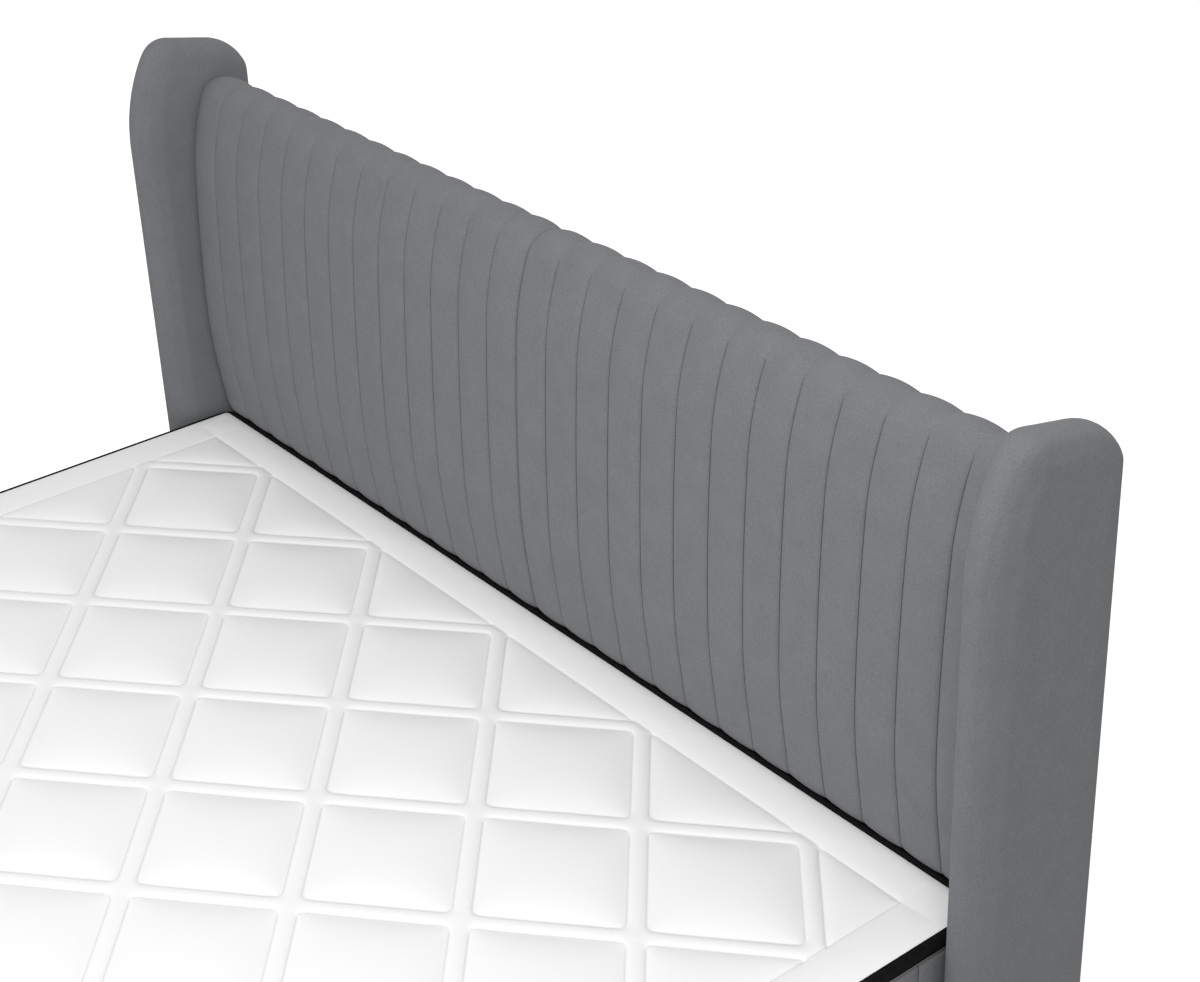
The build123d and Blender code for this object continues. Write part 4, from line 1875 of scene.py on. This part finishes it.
@dataclass(frozen=True)
class Studio:
    """A pale floor under soft light, with a white ground."""

    floor_size: float = 60.0
    floor_colour: Colour = (0.60, 0.60, 0.60)
    floor_glow: float = 0.72
    sky: float = 0.62
    key_energy: float = 70.0
    key_place: tuple[float, float, float] = (1.69, -0.95, 3.4)
    key_size: float = 2.6
    key_aim: tuple[float, float, float] = (0, 0.4, 0.6)

    def set_up(self) -> None:
        """Build the floor, the sky and the lamp, and set the view."""
        bpy.context.scene.view_settings.view_transform = "Standard"
        self.lay_floor()
        self.hang_sky()
        self.hang_key()

    def lay_floor(self) -> None:
        """Lay the floor, which glows a little where it is seen and still takes shadow."""
        shape = bmesh.new()
        bmesh.ops.create_grid(shape, x_segments=1, y_segments=1, size=self.floor_size / 2)
        mix = Recipe("floor")
        matte = mix.add("ShaderNodeBsdfDiffuse", Color=(*self.floor_colour, 1))
        strength = mix.math("MULTIPLY", mix.seen(), self.floor_glow)
        glow = mix.add("ShaderNodeEmission", Strength=strength)
        both = mix.add("ShaderNodeAddShader")
        for socket, shader in zip(both.inputs, (matte, glow)):
            mix.fill(socket, shader.outputs[0])
        mix.add("ShaderNodeOutputMaterial", Surface=both.outputs[0])
        finished(shape, "floor", mix.material)

    def hang_sky(self) -> None:
        """Light the room evenly, and show white behind everything."""
        world = bpy.data.worlds.new("studio")
        world.use_nodes = True
        nodes = Nodes(world.node_tree)
        ground = nodes.tree.nodes["Background"]
        nodes.fill(ground.inputs["Color"], (1, 1, 1, 1))
        nodes.fill(ground.inputs["Strength"], nodes.span(nodes.seen(), 0.0, 1.0, self.sky, 1.0))
        bpy.context.scene.world = world

    def hang_key(self) -> None:
        """Hang one large soft lamp high over the bed's right side, towards the foot."""
        lamp = bpy.data.lights.new("key", "AREA")
        lamp.shape = "DISK"
        lamp.size = self.key_size
        lamp.energy = self.key_energy
        key = bpy.data.objects.new("key", lamp)
        aim = Vector(self.key_aim) - Vector(self.key_place)
        turn = aim.to_track_quat("-Z", "Y").to_matrix().to_4x4()
        key.matrix_world = Matrix.Translation(self.key_place) @ turn
        bpy.context.scene.collection.objects.link(key)


def plan_of(low: Vector, high: Vector, radius: float) -> Plan:
    """The rounded plan of a box."""
    return Plan(high.x, low.y, high.y, radius)


def box_of(names: Sequence[str]) -> tuple[Vector, Vector]:
    """Find the box round several of the frame's nodes.

    Args:
        names: The nodes' names.

    Returns:
        Its lowest and its highest corner.
    """
    boxes = [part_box(name) for name in names]
    low = Vector([min(box[0][axis] for box in boxes) for axis in range(3)])
    high = Vector([max(box[1][axis] for box in boxes) for axis in range(3)])
    return low, high


def build_sides(finishes: Wardrobe, corner_radius: float) -> Plan:
    """Build the grey sides of base and mattress.

    Args:
        finishes: The finishes.
        corner_radius: Radius of the upright corners.

    Returns:
        The mattress's plan.
    """
    base_nodes = [f"base_panel_{end}" for end in ("left", "right", "foot")]
    low, high = box_of(base_nodes)
    base = ChannelledSide(plan_of(low, high, corner_radius), low.z, high.z, closed=False)
    base.build("base_side_wrap", finishes.upholstery, *base_nodes)
    side_nodes = [f"mattress_side_{end}" for end in ("left", "right", "foot", "head")]
    low, high = box_of(side_nodes)
    plan = plan_of(low, high, corner_radius)
    wrap = ChannelledSide(plan, low.z, high.z, closed=True)
    wrap.build("mattress_side_wrap", finishes.upholstery, *side_nodes)
    return plan


def main(frame: dict) -> None:
    """Build and dress the bed, then the studio.

    Args:
        frame: What the frame's loading gave.
    """
    finishes = Wardrobe()
    datum = Datum()
    Carcass(frame["nodes"], finishes).dress()
    for side in Side:
        HeadboardPads(datum).build(side, finishes.upholstery)
        Wings(datum).build(side, finishes.upholstery)
    plan = build_sides(finishes, corner_radius=0.030)
    QuiltedTop(datum).build(finishes.ticking)
    trim = MattressTrim(datum, plan)
    trim.band(finishes.mesh_band)
    trim.piping(finishes.piping)
    Slab("mattress_comfort_foam", "comfort_foam_layer").build(finishes.foam, "foam")
    Slab("mattress_spring_core", "pocket_spring_unit").build(finishes.fleece, "fleece")
    Slab("mattress_bottom_panel", "mattress_underside").build(finishes.backing, "dark_cloth")
    BackCloth().build(finishes.backing)
    Camera().set_up()
    Studio().set_up()


if __name__ == "__main__":
    logging.basicConfig(level=logging.INFO, format="%(name)s: %(message)s")
    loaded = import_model()
    main(loaded)
